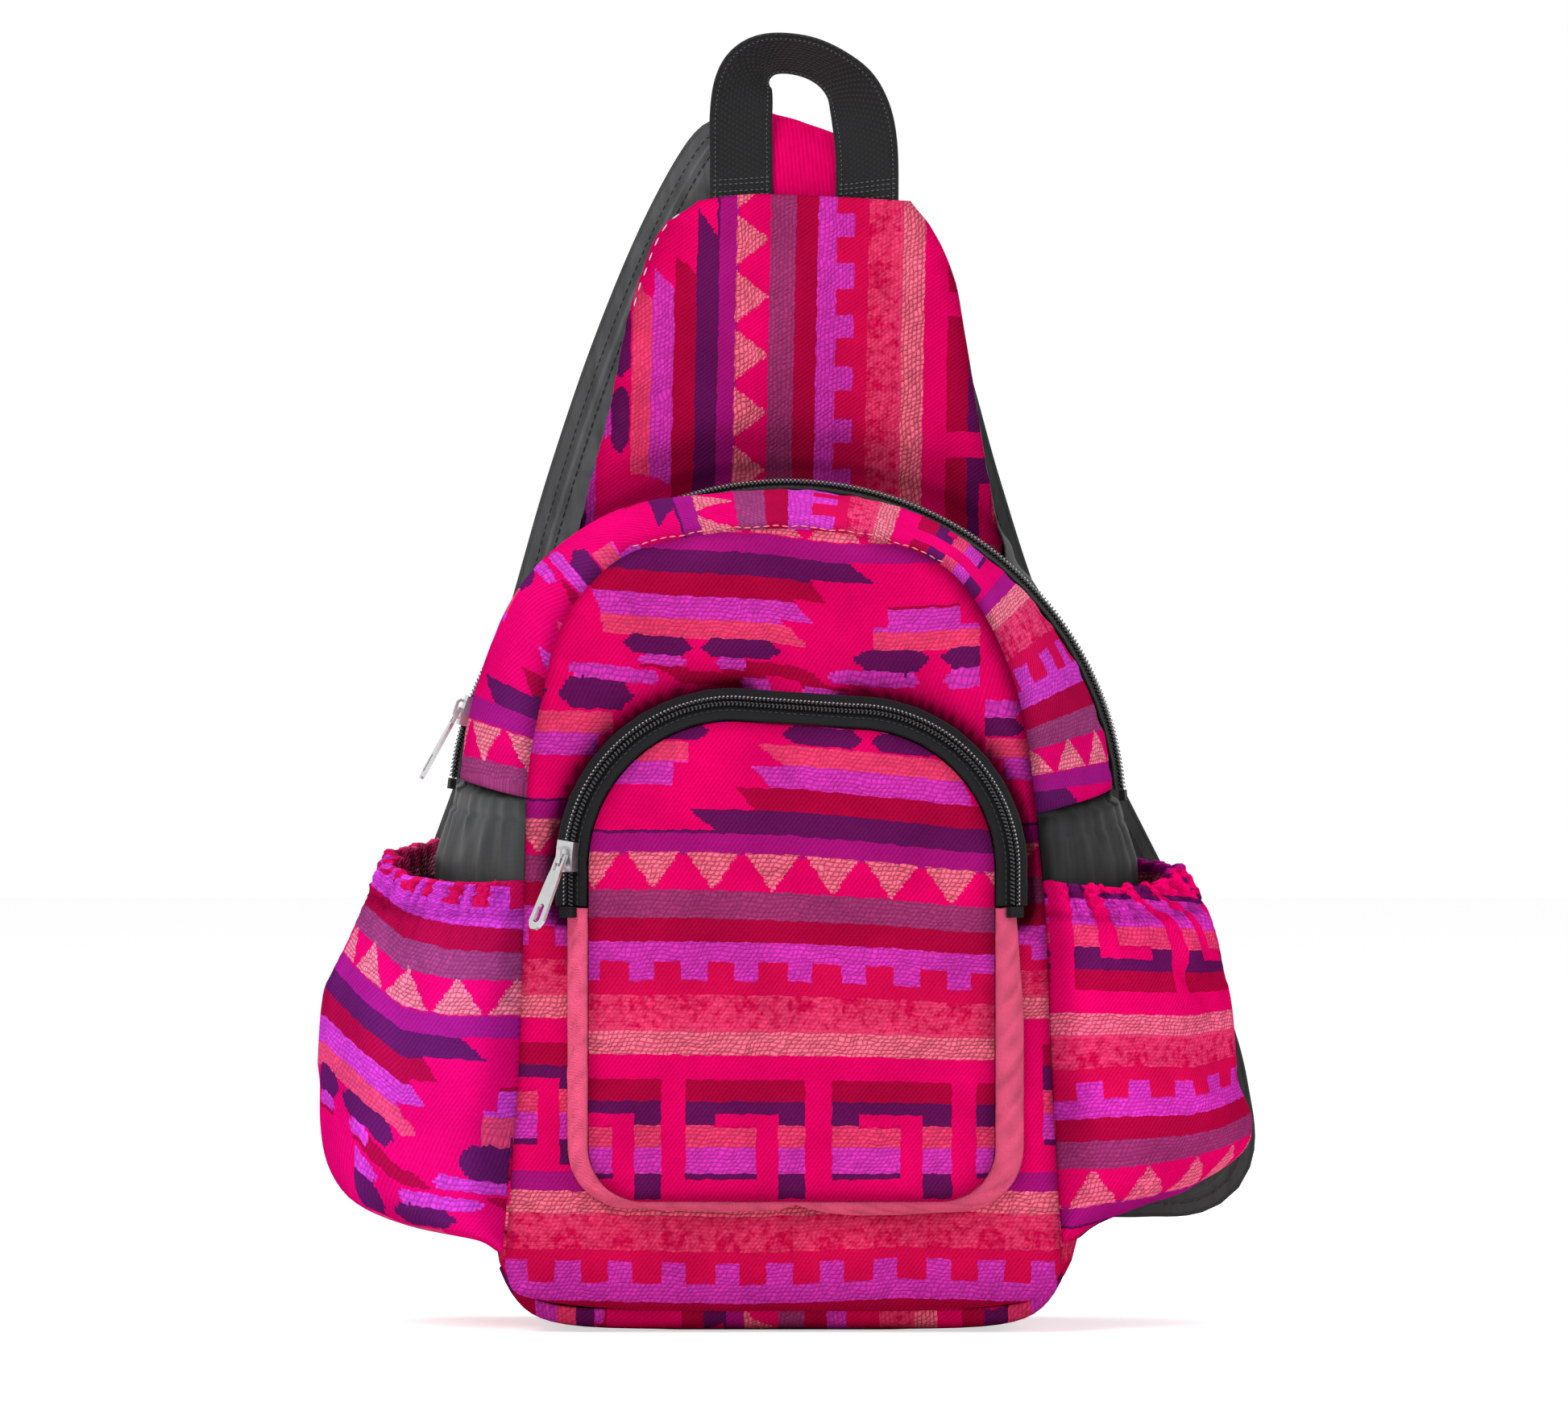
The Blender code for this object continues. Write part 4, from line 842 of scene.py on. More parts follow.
KINDS = {
    "weave_front": weave("weave_front", (1084, 760, 668, 640, 760)),
    "weave_pocket": weave("weave_pocket", (1084, 853, 811, 796, 851.7)),
    "weave_neck": weave("weave_neck", (613, 243, 283.6, 265, 381)),
    # The tints of the gusset and the side pockets are painted light: casts of the light that falls on them
    "weave_gusset": weave("weave_gusset", (90, 20, 0, 20, -120), (1.1, 1.5, 1.4)),
    "weave_left": weave("weave_left", (612, 560, 645, 620, 600), (1.2, 1.7, 1.75)),
    "weave_right": weave("weave_right", (0, 60, 30, 20, 0), (1.22, 1.1, 1.3)),
    "weave_plain": weave("weave_plain"),
    "coral": plain_cloth("coral_cloth", srgb(255, 96, 140), variation=0.35, thread=0.9, depth=0.3),
    "nylon": nylon("black_nylon", srgb(52, 54, 55)),
    # A copy of the nylon for the right side, which lies in shade: little shine, so no haze of reflected
    # light shows
    "shaded_side_nylon": nylon("shaded_side_nylon", srgb(66, 67, 68), specular=0.05),
    "strap_nylon": nylon("strap_nylon", srgb(84, 86, 87)),
    "tape": plain_cloth("zip_tape", srgb(24, 24, 26), thread=0.9, depth=0.12, roughness=0.7, sheen=0.05),
    "webbing": webbing(),
    "coil": simple("zip_coil", srgb(26, 26, 28), 0.24, 400.0),
    "foam": simple("foam", srgb(205, 204, 198), 0.9, 900.0, depth=0.2),
    "elastic": plain_cloth("white_elastic", srgb(226, 225, 222), thread=1.4, depth=0.3),
    "metal": simple("silver_metal", (0.58, 0.58, 0.59, 1.0), 0.3, 300.0, 0.2, 0.01, 1.0),
    "thread": simple("black_thread", srgb(34, 34, 36), 0.6, 2000.0),
    "coral_thread": simple("coral_thread", srgb(250, 130, 140), 0.7, 2000.0),
    "lilac_thread": simple("lilac_thread", srgb(222, 190, 222), 0.7, 2000.0),
    # Pale beads painted on the zip coils as glints
    "painted_glint": simple("painted_glint", srgb(188, 188, 190), 0.6, 2000.0),
    # Grey thread, also used for the dimmer painted glints on the zip coils
    "grey_thread_and_glint": simple("grey_thread_and_glint", srgb(74, 75, 78), 0.6, 2000.0),
}


# Shared surfaces


def edge_depth(z):
    """Depth of the front seam at a height: it turns back a little at the foot."""
    low = np.maximum(0.0, 1.0 - (z - 8.0) / 34.0)
    return BODY_FRONT + 3.0 * low * low


def side_bulge(z):
    """How far the side panel swells out at a height."""
    top = lerp(SIDE_SWELL, SIDE_SWELL_TOP, np.clip((z - SIDE_SWELL_HEIGHT) / 25.0, 0, 1))
    share = np.clip((z - PANEL_FOOT) / (SIDE_SWELL_HEIGHT - PANEL_FOOT), 0, 1)
    below = lerp(SIDE_SWELL_FOOT, SIDE_SWELL, np.sin(math.pi / 2 * share))
    return np.where(z > SIDE_SWELL_HEIGHT, top, below)


# The side panel's two edges, front and back, for each side
SEAMS = {
    sign: (smooth_through(FRONT_LEFT if sign < 0 else FRONT_RIGHT[::-1], 160),
           smooth_through([(sign * x, z) for x, z in BACK_SIDE], 240))
    for sign in SIDES
}


def side_surface(sign, t, z):
    """A point on the outer face of the side panel, t from front to back."""
    front, back = (np.interp(z, chain[:, 1], chain[:, 0]) for chain in SEAMS[sign])
    across = lerp(front, back, t) + sign * side_bulge(z) * np.sin(math.pi * np.clip(t, 0, 1)) ** 0.8
    return stack(across, lerp(edge_depth(z) + SEAM, BACK_SEAM, t), z)


def arc(x, z, radius, start, end, step):
    """Stations along an arc: a point across and up, and the direction out of it."""
    count = max(2, round(abs(end - start) / step))
    a = np.radians(np.linspace(start, end, count + 1))
    out = stack(np.cos(a), np.sin(a))
    return np.array([x, z]) + out * radius, out


def main_track(step=1.0):
    return arc(MAIN_ARC_X, MAIN_ARC_Z, MAIN_ARC_RADIUS, MAIN_ARC_START, MAIN_ARC_END, step)


def upright(x, start, end, side, count=9):
    """Stations along a straight end of the front pocket's zip."""
    return stack(x, np.linspace(start, end, count)), np.tile([side, 0.0], (count, 1))


def pocket_track(step=1.5):
    parts = [
        upright(POCKET_LEFT[0] - POCKET_LEFT[2], POCKET_ZIP_FOOT, POCKET_LEFT[1] - TRACK_GAP, -1.0),
        arc(*POCKET_LEFT, 180, 90, step),
        arc(*POCKET_RIGHT, 90, 0, step),
        upright(POCKET_RIGHT[0] + POCKET_RIGHT[2], POCKET_RIGHT[1] - TRACK_GAP, POCKET_ZIP_FOOT, 1.0),
    ]
    return np.vstack([p for p, _ in parts]), np.vstack([n for _, n in parts])


def tape_frame(track, tilt, depth):
    """Points along a zip's middle, with the directions across its tape and up from it."""
    p, n = track
    a = math.radians(tilt)
    out = stack(n[:, 0], 0.0, n[:, 1])
    middle = stack(p[:, 0], depth, p[:, 1])
    across = out * math.cos(a) + np.array([0, math.sin(a), 0])
    up = out * math.sin(a) - np.array([0, math.cos(a), 0])
    return middle, across, up


def arc_place(angle, radius, depth):
    """A place at an angle round the main zip's centre."""
    a = np.radians(angle)
    return stack(MAIN_ARC_X + np.cos(a) * radius, depth, MAIN_ARC_Z + np.sin(a) * radius)


def beside_main(across):
    """Radius and depth of a line beside the main zip's middle."""
    a = math.radians(MAIN_TILT)
    return MAIN_ARC_RADIUS + across * math.cos(a), MAIN_ARC_Y + across * math.sin(a)


# Body panels


def picture_points(grid):
    """Picture columns and rows of points on the front."""
    return CENTRE_COLUMN + grid[..., 0] / POINT, FLOOR_ROW - grid[..., 2] / POINT


def star_line(column, row, columns, rows, heights):
    """Picture row of the middle of the star band, from its height at a few places."""
    column = np.clip(column, columns[0], columns[-1])
    table = np.array(heights, float)
    across = np.stack([np.interp(column, columns, line) for line in table], -1)
    place = np.interp(row, rows, np.arange(len(rows)))
    low = np.clip(np.floor(place).astype(int), 0, len(rows) - 2)
    near = np.take_along_axis(across, low[..., None], -1)[..., 0]
    far = np.take_along_axis(across, low[..., None] + 1, -1)[..., 0]
    return lerp(near, far, place - low)


def front_loop():
    """The front panel's edge, from its left shoulder over the arch and round."""
    parts = [smooth_through(points, count) for points, count in
             ((FRONT_ARCH, 150), (FRONT_RIGHT, 70), (FRONT_FOOT, 80), (FRONT_LEFT, 70))]
    return np.vstack([part[:-1] for part in parts])


def inward_loops(loop, aim, steps, shares, rise):
    """Loops that step in from an edge by set lengths, and then by shares of the way to their aims.

    Each comes with its distance from the edge, which for the last ones only serves to shape their height.
    """
    reach = np.linalg.norm(aim - loop, axis=1, keepdims=True)
    toward = (aim - loop) / reach
    for step in steps:
        yield step, loop + toward * step
    for share in shares:
        yield steps[-1] + rise * share, loop + toward * lerp(steps[-1], reach, share)


def make_front_panel():
    loop = front_loop()
    middle = stack(loop[:, 0] * 0.3, np.clip(loop[:, 1] * 0.55 + 66.0, 70.0, 215.0))
    steps = [0.4, 0.8, 1.3, 2.0, 3.0, 4.2, 5.6, 7.2, 9.0, 11.0, 13.5, 16.0, 19.0, 22.0, 25.0]
    runs = run_lengths(loop)
    pucker = waves((runs, 0.52, 0.4, 0.5), (runs, 0.83, 2.0, 0.35), (runs, 0.27, 1.0, 0.4))
    # A hidden edge behind the seam closes the gap to the pieces that meet it
    tuck = loop + unit(middle - loop) * 0.9
    rings = [stack(tuck[:, 0], edge_depth(tuck[:, 1]) + 3.6, tuck[:, 1])]
    for step, flat in inward_loops(loop, middle, steps, np.arange(1, 15) / 15.0, 60.0):
        t = max(0.0, 1.0 - (step - steps[0]) / (FRONT_ROLL - steps[0]))
        height = FRONT_DOME * math.sqrt(1.0 - t * t) + pucker * 0.55 * bell(step - 5.0, 5.5)
        depth = lerp(edge_depth(loop[:, 1]), BODY_FRONT, 1 - t) - height
        rings.append(stack(flat[:, 0], depth, flat[:, 1]))
    centre = np.array([0.0, rings[-1][:, 1].mean(), 143.0])
    for _ in range(3):
        rings.append(lerp(rings[-1], centre, 0.35))
    grid = np.array(rings)
    px, pz = grid[..., 0], grid[..., 2]
    inner = np.exp(-((np.maximum(0, 16.0 - np.linspace(0, 1, len(grid))[:, None] * 60)) ** 2) / 30)
    # Painted shade: darker beside the seams, most on the right side, and in the shadow round and above the
    # front pocket's zip
    track = pocket_track(4.0)[0]
    from_zip = np.min(np.linalg.norm(grid[:, :, None, ::2] - track[None, None], axis=-1), axis=-1)
    from_seam = np.array([0.0, *steps] + [30.0] * (len(grid) - len(steps) - 1))[:, None]
    right = (np.clip((loop[None, :, 0] - 20.0) / 50.0, 0, 1)
             * np.clip((loop[None, :, 1] - 120.0) / 60.0, 0, 1))
    shade = (0.3 + 0.4 * right) * bell(from_seam, 3.0 + 2.0 * right) * (pz > 30.0)
    shade = np.maximum(shade, 0.75 * np.exp(-np.maximum(0, from_zip - 8.5) / 3.2) * (pz > 150.0))
    shade = shade + 0.18 * np.exp(-np.maximum(0, from_zip - 8.0) / 11.0)
    drape = waves((px, 0.045, 0.5, 0.7), (pz, 0.05, 1.0, 0.5), (px + pz, 0.08, 0.0, 0.35),
                  (px - pz, 0.11, 2.0, 0.25))
    visible = np.clip(np.maximum(np.abs(px - 2) - 84, pz - 240) / 8.0, 0, 1)
    grid[..., 1] += inner * drape * visible * 0.8
    u, row = picture_points(grid)
    columns = [662, 740, 826, 920, 960, 1000, 1040, 1120, 1200, 1270]
    heights = [
        [816, 820, 827, 831, 834, 840, 845, 846, 841, 838],
        [816, 820, 829, 832, 834, 840, 844, 846, 841, 838],
        [843, 844, 845, 852, 855, 860, 864, 869, 874, 877],
        [845, 846, 847, 853, 856, 860, 864, 868, 872, 875],
        [851, 852, 854, 856, 857, 858, 860, 864, 868, 874],
        [851, 852, 854, 856, 855, 854, 852, 848, 850, 853],
    ]
    w = row - star_line(u, row, columns, [700, 824, 886, 1016, 1173, 1240], heights)
    sheet("front_panel_cloth", grid, "weave_front", (0, 0, 150), stack(u, w), closed=True, caps=(-1,),
          shade=shade, slot="striped_weave", replaces=("front_panel",))


def gusset_grid(count=190, across_count=30):
    """The main gusset before its folds, and the share of the way across it."""
    front = trimmed(smooth_through(FRONT_ARCH, count), SEAM, SEAM)
    radius, back = beside_main(-MAIN_TAPE - CLEAR)
    gap = math.degrees(SEAM / radius)
    angle = lerp(MAIN_ARC_START - gap, MAIN_ARC_END + gap, np.linspace(0, 1, count))
    end = arc_place(angle, radius, back)
    start = stack(front[:, 0], edge_depth(front[:, 1]) + SEAM, front[:, 1])
    a = np.radians(angle)
    out = stack(np.cos(a), -0.25, np.sin(a))
    swell = GUSSET_SWELL + SHOULDER_SWELL * bell(angle - SHOULDER_ANGLE, SHOULDER_SPREAD)
    t = eased(across_count)
    grid = lerp(start[:, None], end[:, None], t[None, :, None])
    grid = grid + out[:, None] * (swell[:, None] * np.sin(math.pi * t))[..., None]
    return grid, t


def make_main_gusset():
    grid, t = gusset_grid()
    face = outward(grid, (0, 0, 190))
    s = run_lengths(grid[:, len(t) // 2])[:, None]
    width = np.linalg.norm(grid[:, -1] - grid[:, 0], axis=1)[:, None]
    across = t[None, :] * width
    far = np.minimum(across, width - across)
    pucker = waves((s, 0.42, 0.3, 0.35), (s, 0.71, 1.9, 0.25), (s, 0.2, 0.9, 0.3))
    drape = waves((s, 0.06, 0.0, 0.7), (across, 0.14, 1.0, 0.3), (s + across, 0.11, 2.0, 0.3))
    lift = pucker * np.exp(-far / 8.0) + drape * np.clip(far / 12, 0, 1) + seam_roll(far)
    grid = grid + face * lift[..., None]
    angle = np.degrees(np.arctan2(grid[..., 2] - MAIN_ARC_Z, grid[..., 0] - MAIN_ARC_X))
    # Where the bands cross the gusset: angles round the arc, and places in the pattern
    marks = [(4.6, 896), (13.3, 837), (18.3, 801), (30.5, 725), (39.7, 671), (44.2, 635), (51.6, 574),
             (60.8, 480), (72.0, 393), (81.4, 316), (88.3, 283), (96.7, 227), (103.4, 191), (115.8, 105),
             (127.9, 30), (138.5, -34), (147.2, -77), (160.3, -157), (172.0, -228)]
    w = np.interp(angle, *zip(*marks))
    # Painted shade beside both seams
    shade = 0.4 * bell(across, 4.0) + 0.25 * bell(width - across, 4.0)
    sheet("main_gusset_cloth", grid, "weave_gusset", (0, 0, 190), stack(across / POINT, w), shade=shade,
          slot="striped_weave", replaces=("main_gusset",))
    sewn = face[61:131, 3]
    stitches("gusset_front_stitching", grid[61:131, 3] + sewn * 0.1, sewn, kind="coral_thread",
             slot="striped_weave")


def neck_corner(sign):
    """The angle on the main zip's arc where the neck starts."""
    return 90.0 - sign * (90.0 - NECK_CORNER_ANGLE)


def neck_side(sign, count):
    """The neck's edge, from the main zip up to its top."""
    corner = arc_place(neck_corner(sign), *beside_main(MAIN_TAPE + CLEAR))
    points = NECK_LEFT if sign < 0 else NECK_RIGHT
    first = np.array([points[0][0], NECK_SEAM, points[0][1]])
    path = [corner, lerp(corner, first, 0.5) + np.array([sign * 1.5, 0, 0])]
    path += [np.array([x, NECK_SEAM if z < 415.0 else NECK_TOP, z]) for x, z in points]
    return smooth_through(path, count)


def neck_grid(up=120, across=110):
    """The neck before its folds, with the shares of the way across it and up it."""
    radius, back = beside_main(MAIN_TAPE + CLEAR)
    left, right = neck_side(-1, up), neck_side(1, up)
    u = np.linspace(0, 1, across)
    bottom = arc_place(lerp(neck_corner(-1), neck_corner(1), u), radius + 0.4, back)
    lift = stack(0.0, -4.0 * np.sin(math.pi * u), 4.0 * np.sin(math.pi * np.minimum(1.0, u * 3.0) / 2))
    top = lerp(left[-1], right[-1], u[:, None]) + lift
    v = np.linspace(0, 1, up)[:, None, None]
    s = u[None, :, None]
    ruled = lerp(left[:, None], right[:, None], s)
    lofted = lerp(bottom[None], top[None], v)
    corners = lerp(lerp(bottom[0], bottom[-1], s), lerp(top[0], top[-1], s), v)
    grid = ruled + lofted - corners
    grid[..., 1] -= NECK_SWELL * np.sin(math.pi * v[..., 0]) * np.sin(math.pi * u[None])
    grid[:, 0] = lerp(grid[:, 0], grid[:, 1], 0.4)
    grid[:, -1] = lerp(grid[:, -1], grid[:, -2], 0.4)
    return grid, u, v[:, 0, 0]


def make_neck():
    grid, u, v = neck_grid()
    face = outward(grid, (0, 60, 340))
    x, z = grid[..., 0], grid[..., 2]
    width = np.linalg.norm(grid[:, -1] - grid[:, 0], axis=1)[:, None]
    from_edge = np.minimum(u[None], 1 - u[None]) * width
    from_top = (1 - v[:, None]) * NECK_HEIGHT
    lift = waves((z, 0.5, 0.0, 0.35), (z, 0.83, 1.0, 0.25)) * np.exp(-from_edge / 7.0)
    drape = waves((x, 0.045, 0.3, 0.8), (z, 0.035, 1.2, 0.7), (x + z, 0.07, 0.0, 0.5))
    lift += drape * np.clip(from_edge / 25, 0, 1)
    lift += seam_roll(np.minimum(from_edge, from_top))
    lift *= np.clip(v[:, None] * 8, 0, 1)
    grid = grid + face * lift[..., None]
    column, row = picture_points(grid)
    w = column - 740.0 + 0.02 * (row - 450.0)
    # Painted shade: the neck darkens towards the pouch below it, more where it faces up, and along its
    # edges
    from_centre = np.linalg.norm(grid[..., ::2] - np.array([MAIN_ARC_X, MAIN_ARC_Z]), axis=-1)
    over_pouch = from_centre - MAIN_ARC_RADIUS
    shade_over_pouch = 0.55 + 0.15 * np.clip(face[..., 2] * 1.5, 0, 1)
    shade = shade_over_pouch * bell(np.maximum(0, over_pouch - 8.0), 15.0) + 0.22 * bell(from_edge, 6.0)
    sewn = face[-36:-6, 2]
    edge = grid[-36:-6, 2] + sewn * 0.25
    # The sides turn back to the panel behind them
    cloth = stack(row, w)
    upright = np.clip((grid[:, :1, 1:2] - 40.0) / 12.0, 0, 1)
    turned = []
    for side in (0, -1):
        start = grid[:, side:side + 1 or None]
        inward = np.array([1.5 if side == 0 else -1.5, 0.0, -5.0])
        back = stack(start[..., 0], 59.2, start[..., 2])
        turned.append(lerp(start + inward, back, upright))
    grid = np.concatenate([turned[0], grid, turned[1]], 1)
    cloth = np.concatenate([cloth[:, :1] - [0, 18.0], cloth, cloth[:, -1:] + [0, 18.0]], 1)
    # The turned-back sides are painted dark with shade
    dark = np.full((len(grid), 1), 0.6)
    shade = np.concatenate([dark, shade, dark], 1)
    sheet("neck_cloth", grid, "weave_neck", (0, 60, 340), cloth, shade=shade, slot="striped_weave",
          replaces=("upper_front_panel",))
    stitches("neck_edge_stitching", edge, sewn, length=3.4, gap=2.2, kind="lilac_thread",
             slot="striped_weave")


def make_side_panel(sign):
    t = eased(110)
    top = SEAMS[sign][0][-1, 1] - SEAM + SIDE_TOP_RISE * t[None]
    z = lerp(PANEL_FOOT + SEAM, top, np.linspace(0, 1, 100)[:, None])
    grid = side_surface(sign, np.broadcast_to(t[None], z.shape), z)
    face = outward(grid, (0, 0, 110))
    depth = grid[..., 1]
    # Each crease has a ridge and, beside it, a shallower groove
    ridges = [(-46, 60, -50, 196, 3.0, 0.9), (-36, 90, -40, 200, 4.0, 1.1), (-22, 70, -30, 198, 5.0, 1.2),
              (-8, 110, -12, 200, 4.5, 0.9), (8, 80, 4, 201, 5.0, 1.1), (24, 100, 20, 202, 5.0, 1.0),
              (40, 90, 36, 204, 4.0, 0.9)]
    grooves = [(y0 + width * 1.7, z0, y1 + width * 1.7, z1, width, height * -0.5)
               for y0, z0, y1, z1, width, height in ridges]
    lift = creased(depth, z, ridges + grooves)
    from_top = top - z
    from_edge = np.minimum(depth - BODY_FRONT, BACK_SEAM - depth)
    lift += waves((depth, 0.5, 0.5, 0.5), (depth, 0.81, 2.2, 0.3)) * np.exp(-np.abs(from_top - 9) / 9.0)
    lift -= 0.7 * bell(from_top - 7.0, 1.2)
    lift += seam_roll(from_edge)
    lift *= np.clip(from_edge / 3.0 + 0.2, 0, 1)
    grid = grid + face * (lift * (1.25 if sign < 0 else 0.8))[..., None]
    # Painted shade: darker beside the seams, towards the top and under the fold there; the right side,
    # which lies in shade, is darker all over, and the hidden strip above is painted dark
    shade = 0.6 * bell(from_edge, 3.5) + 0.55 * bell(np.maximum(0, z - 150.0), 14.0)
    shade = shade + (0.06 if sign < 0 else 0.4) + 0.35 * bell(from_top, 2.2)
    # A hidden strip above closes the gap to the main gusset and the zip
    tuck = grid[-1:] + np.array([-sign * 2.5, 0, 1.5])
    grid = np.concatenate([grid, tuck, tuck + np.array([-sign, 0, 3.0])])
    shade = np.concatenate([shade, np.full((2, len(t)), 0.7)])
    name = SIDES[sign]
    low = int(np.searchsorted(z[:, 0], SIDE_FOOT_STRIP))
    sheet(f"side_panel_{name}_cloth", grid[low:], SIDE_NYLON[sign], (0, 0, 110), shade=shade[low:],
          slot="black_nylon", replaces=(f"side_panel_{name}",))
    # The foot is striped, with a hidden edge that closes the gap to the bottom
    tuck = grid[:1] - np.array([sign * 2.5, 0, 5.0])
    foot = np.concatenate([tuck, grid[:low + 1]])
    cloth = stack((foot[..., 1] - BODY_FRONT) / POINT, 250.0 + foot[..., 2] / POINT)
    sheet(f"side_foot_{name}_cloth", foot, "weave_plain", (0, 0, 110), cloth, slot="striped_weave")


def make_rear_gusset(sign):
    radius, depth = beside_main(MAIN_TAPE + CLEAR)
    low_angle = MAIN_ARC_START if sign < 0 else MAIN_ARC_END
    top_angle = neck_corner(sign) - sign * math.degrees(2.2 / radius)
    low = SEAMS[sign][0][-1, 1] + SIDE_TOP_RISE
    top = np.array(NECK_LEFT[0] if sign < 0 else NECK_RIGHT[0]) - np.array([0, 2.4])
    chain = SEAMS[sign][1]
    start = [np.interp(low, chain[:, 1], chain[:, 0]), low]
    chain = spread(np.vstack([start, chain[chain[:, 1] > low + 1.0], top]), 90)
    f = np.linspace(0, 1, 90)[:, None]
    t = eased(40)[None]
    a = arc_place(lerp(low_angle, top_angle, f[:, 0]), radius, depth)
    b = stack(chain[:, 0], BACK_SEAM, chain[:, 1])
    out = unit(np.array([sign, 0, 0.5]))
    grid = lerp(a[:, None], b[:, None], t[..., None])
    grid = grid + out * (lerp(4.0, 1.0, f) * np.sin(math.pi * t))[..., None]
    face = outward(grid, (0, 20, 200))
    edge = np.minimum(t, 1 - t) * 45.0
    lift = waves((grid[..., 2], 0.3, 0.4, 0.5), (grid[..., 2], 0.47, 1.4, 0.35)) * np.clip(edge / 8, 0, 1)
    lift = (lift + seam_roll(edge, 0.6)) * np.clip(np.minimum(f, 1 - f) * 14, 0, 1)
    grid = grid + face * lift[..., None]
    name = SIDES[sign]
    # Painted shade: the right gusset lies in shade and is painted much darker than the left
    sheet(f"rear_gusset_{name}_cloth", grid, SIDE_NYLON[sign], (0, 20, 200),
          shade=0.15 if sign < 0 else 0.6, slot="black_nylon", replaces=(f"rear_gusset_{name}",))


def back_loop():
    """The back panel's edge, from its right foot up and round."""
    right = smooth_through(BACK_SIDE + [NECK_RIGHT[0]], 90)
    neck_right = smooth_through(NECK_RIGHT, 60)
    neck_left = smooth_through(NECK_LEFT, 60)[::-1]
    left = smooth_through([(-x, z) for x, z in BACK_SIDE] + [NECK_LEFT[0]], 90)[::-1]
    foot = smooth_through(BACK_FOOT, 80)
    return np.vstack([right[:-1], neck_right, neck_left, left[1:], foot[1:-1]])


def make_back():
    """The padded back, a little crowned, with a sewn line round its edge."""
    loop = back_loop()
    spine = stack(loop[:, 0] * 0.25, np.clip(loop[:, 1], 60.0, 390.0))
    reach = np.linalg.norm(spine - loop, axis=1, keepdims=True)
    toward = (spine - loop) / np.maximum(reach, 1e-6)
    rings = []
    for step in (0.4, 1.0, 1.8, 3.0, 4.6, 6.4, 8.0, 9.0, 10.0, 12.0, 15.0, 19.0, 24.0):
        flat = loop + toward * np.minimum(step, reach * 0.9)
        base = np.interp(step, [0.4, 3.0, 7.0], [58.9, 61.2, BODY_BACK])
        base -= 0.8 * bell(step - 9.0, 0.9)
        rings.append(stack(flat[:, 0], base, flat[:, 1]))
    for share in (0.2, 0.4, 0.6, 0.8, 0.97):
        inner = lerp(flat, spine, share)
        rings.append(stack(inner[:, 0], BODY_BACK, inner[:, 1]))
    grid = np.array(rings)
    back = sheet("back_panel_cloth", grid, "nylon", (0, 0, 200), stack(*picture_points(grid)), closed=True,
                 caps=(-1,), slot="black_nylon", replaces=("back_panel",))


def rounded(half_width, half_depth, radius, count):
    """A rectangle with rounded corners, as 239 points."""
    out = []
    for corner in range(4):
        for k in range(count):
            a = math.radians(90.0 * corner + 90.0 * k / (count - 1))
            out.append(((half_width - radius) * (1 if corner in (0, 3) else -1) + radius * math.cos(a),
                        (half_depth - radius) * (1 if corner in (0, 1) else -1) + radius * math.sin(a)))
    return spread(out + out[:1], 240)[:-1]


def make_bottom():
    middle = (BOTTOM_FRONT + BOTTOM_BACK) / 2
    half_depth = (BOTTOM_BACK - BOTTOM_FRONT) / 2
    # The turn from the seams down to the floor: shares of the way in, and of the height
    turn = smooth_through([(0.0, 1.0), (0.14, 0.72), (0.33, 0.42), (0.62, 0.15), (1.0, 0.0)], 14)
    rings = []
    for part, share in turn:
        inset = BOTTOM_TURN * part
        backward = inset * BOTTOM_TURN_FORWARD
        half_width = BOTTOM_HALF_WIDTH - inset * BOTTOM_SIDE_TURN
        swell = 3.4 * math.sin(math.pi * min(1.0, part * 1.15))
        ring = rounded(half_width + swell, half_depth - inset + swell, 8.0 + inset * 0.5, 12)
        side = (np.abs(ring[:, 0]) / BOTTOM_HALF_WIDTH) ** 10
        height = lerp(BOTTOM_FRONT_RISE + 1.4, BOTTOM_SIDE_RISE, side) * max(share, 0.0)
        rings.append(stack(ring[:, 0] + BOTTOM_MIDDLE, ring[:, 1] + middle + backward, height))
    centre = np.array([BOTTOM_MIDDLE, middle + backward, 0.0])
    grid = np.array(rings + [lerp(centre, rings[-1], share) for share in (0.75, 0.5, 0.25)])
    cloth = stack(grid[..., 1] / POINT, (grid[..., 0] + 68.0) / POINT)
    sheet("bottom_panel_cloth", grid, "weave_plain", (0, 0, 100), cloth, closed=True, caps=(-1,),
          slot="striped_weave", replaces=("bottom_panel",))


# Front pocket


def pocket_edge(inset):
    """The front pocket's edge, set in: along the zip, its right lower corner and its left one."""
    p, n = pocket_track(2.0)
    edge = [p - n * inset]
    left = POCKET_LEFT[0] - POCKET_LEFT[2] + inset
    right = POCKET_RIGHT[0] + POCKET_RIGHT[2] - inset
    bottom = POCKET_BOTTOM + (inset - POCKET_BAND) + 2.0
    radius = POCKET_CORNER
    for x, start in ((right - radius, 0), (left + radius, -90)):
        a = np.radians(start - np.linspace(0, 90, 24))
        edge.append(stack(x + radius * np.cos(a), bottom + radius + radius * np.sin(a)))
    return edge


def pocket_face_loop():
    """The edge of the front pocket's face, evenly spread."""
    edge = np.vstack(pocket_edge(POCKET_BAND))
    return spread(np.vstack([edge, edge[:1]]), 301)[:-1]


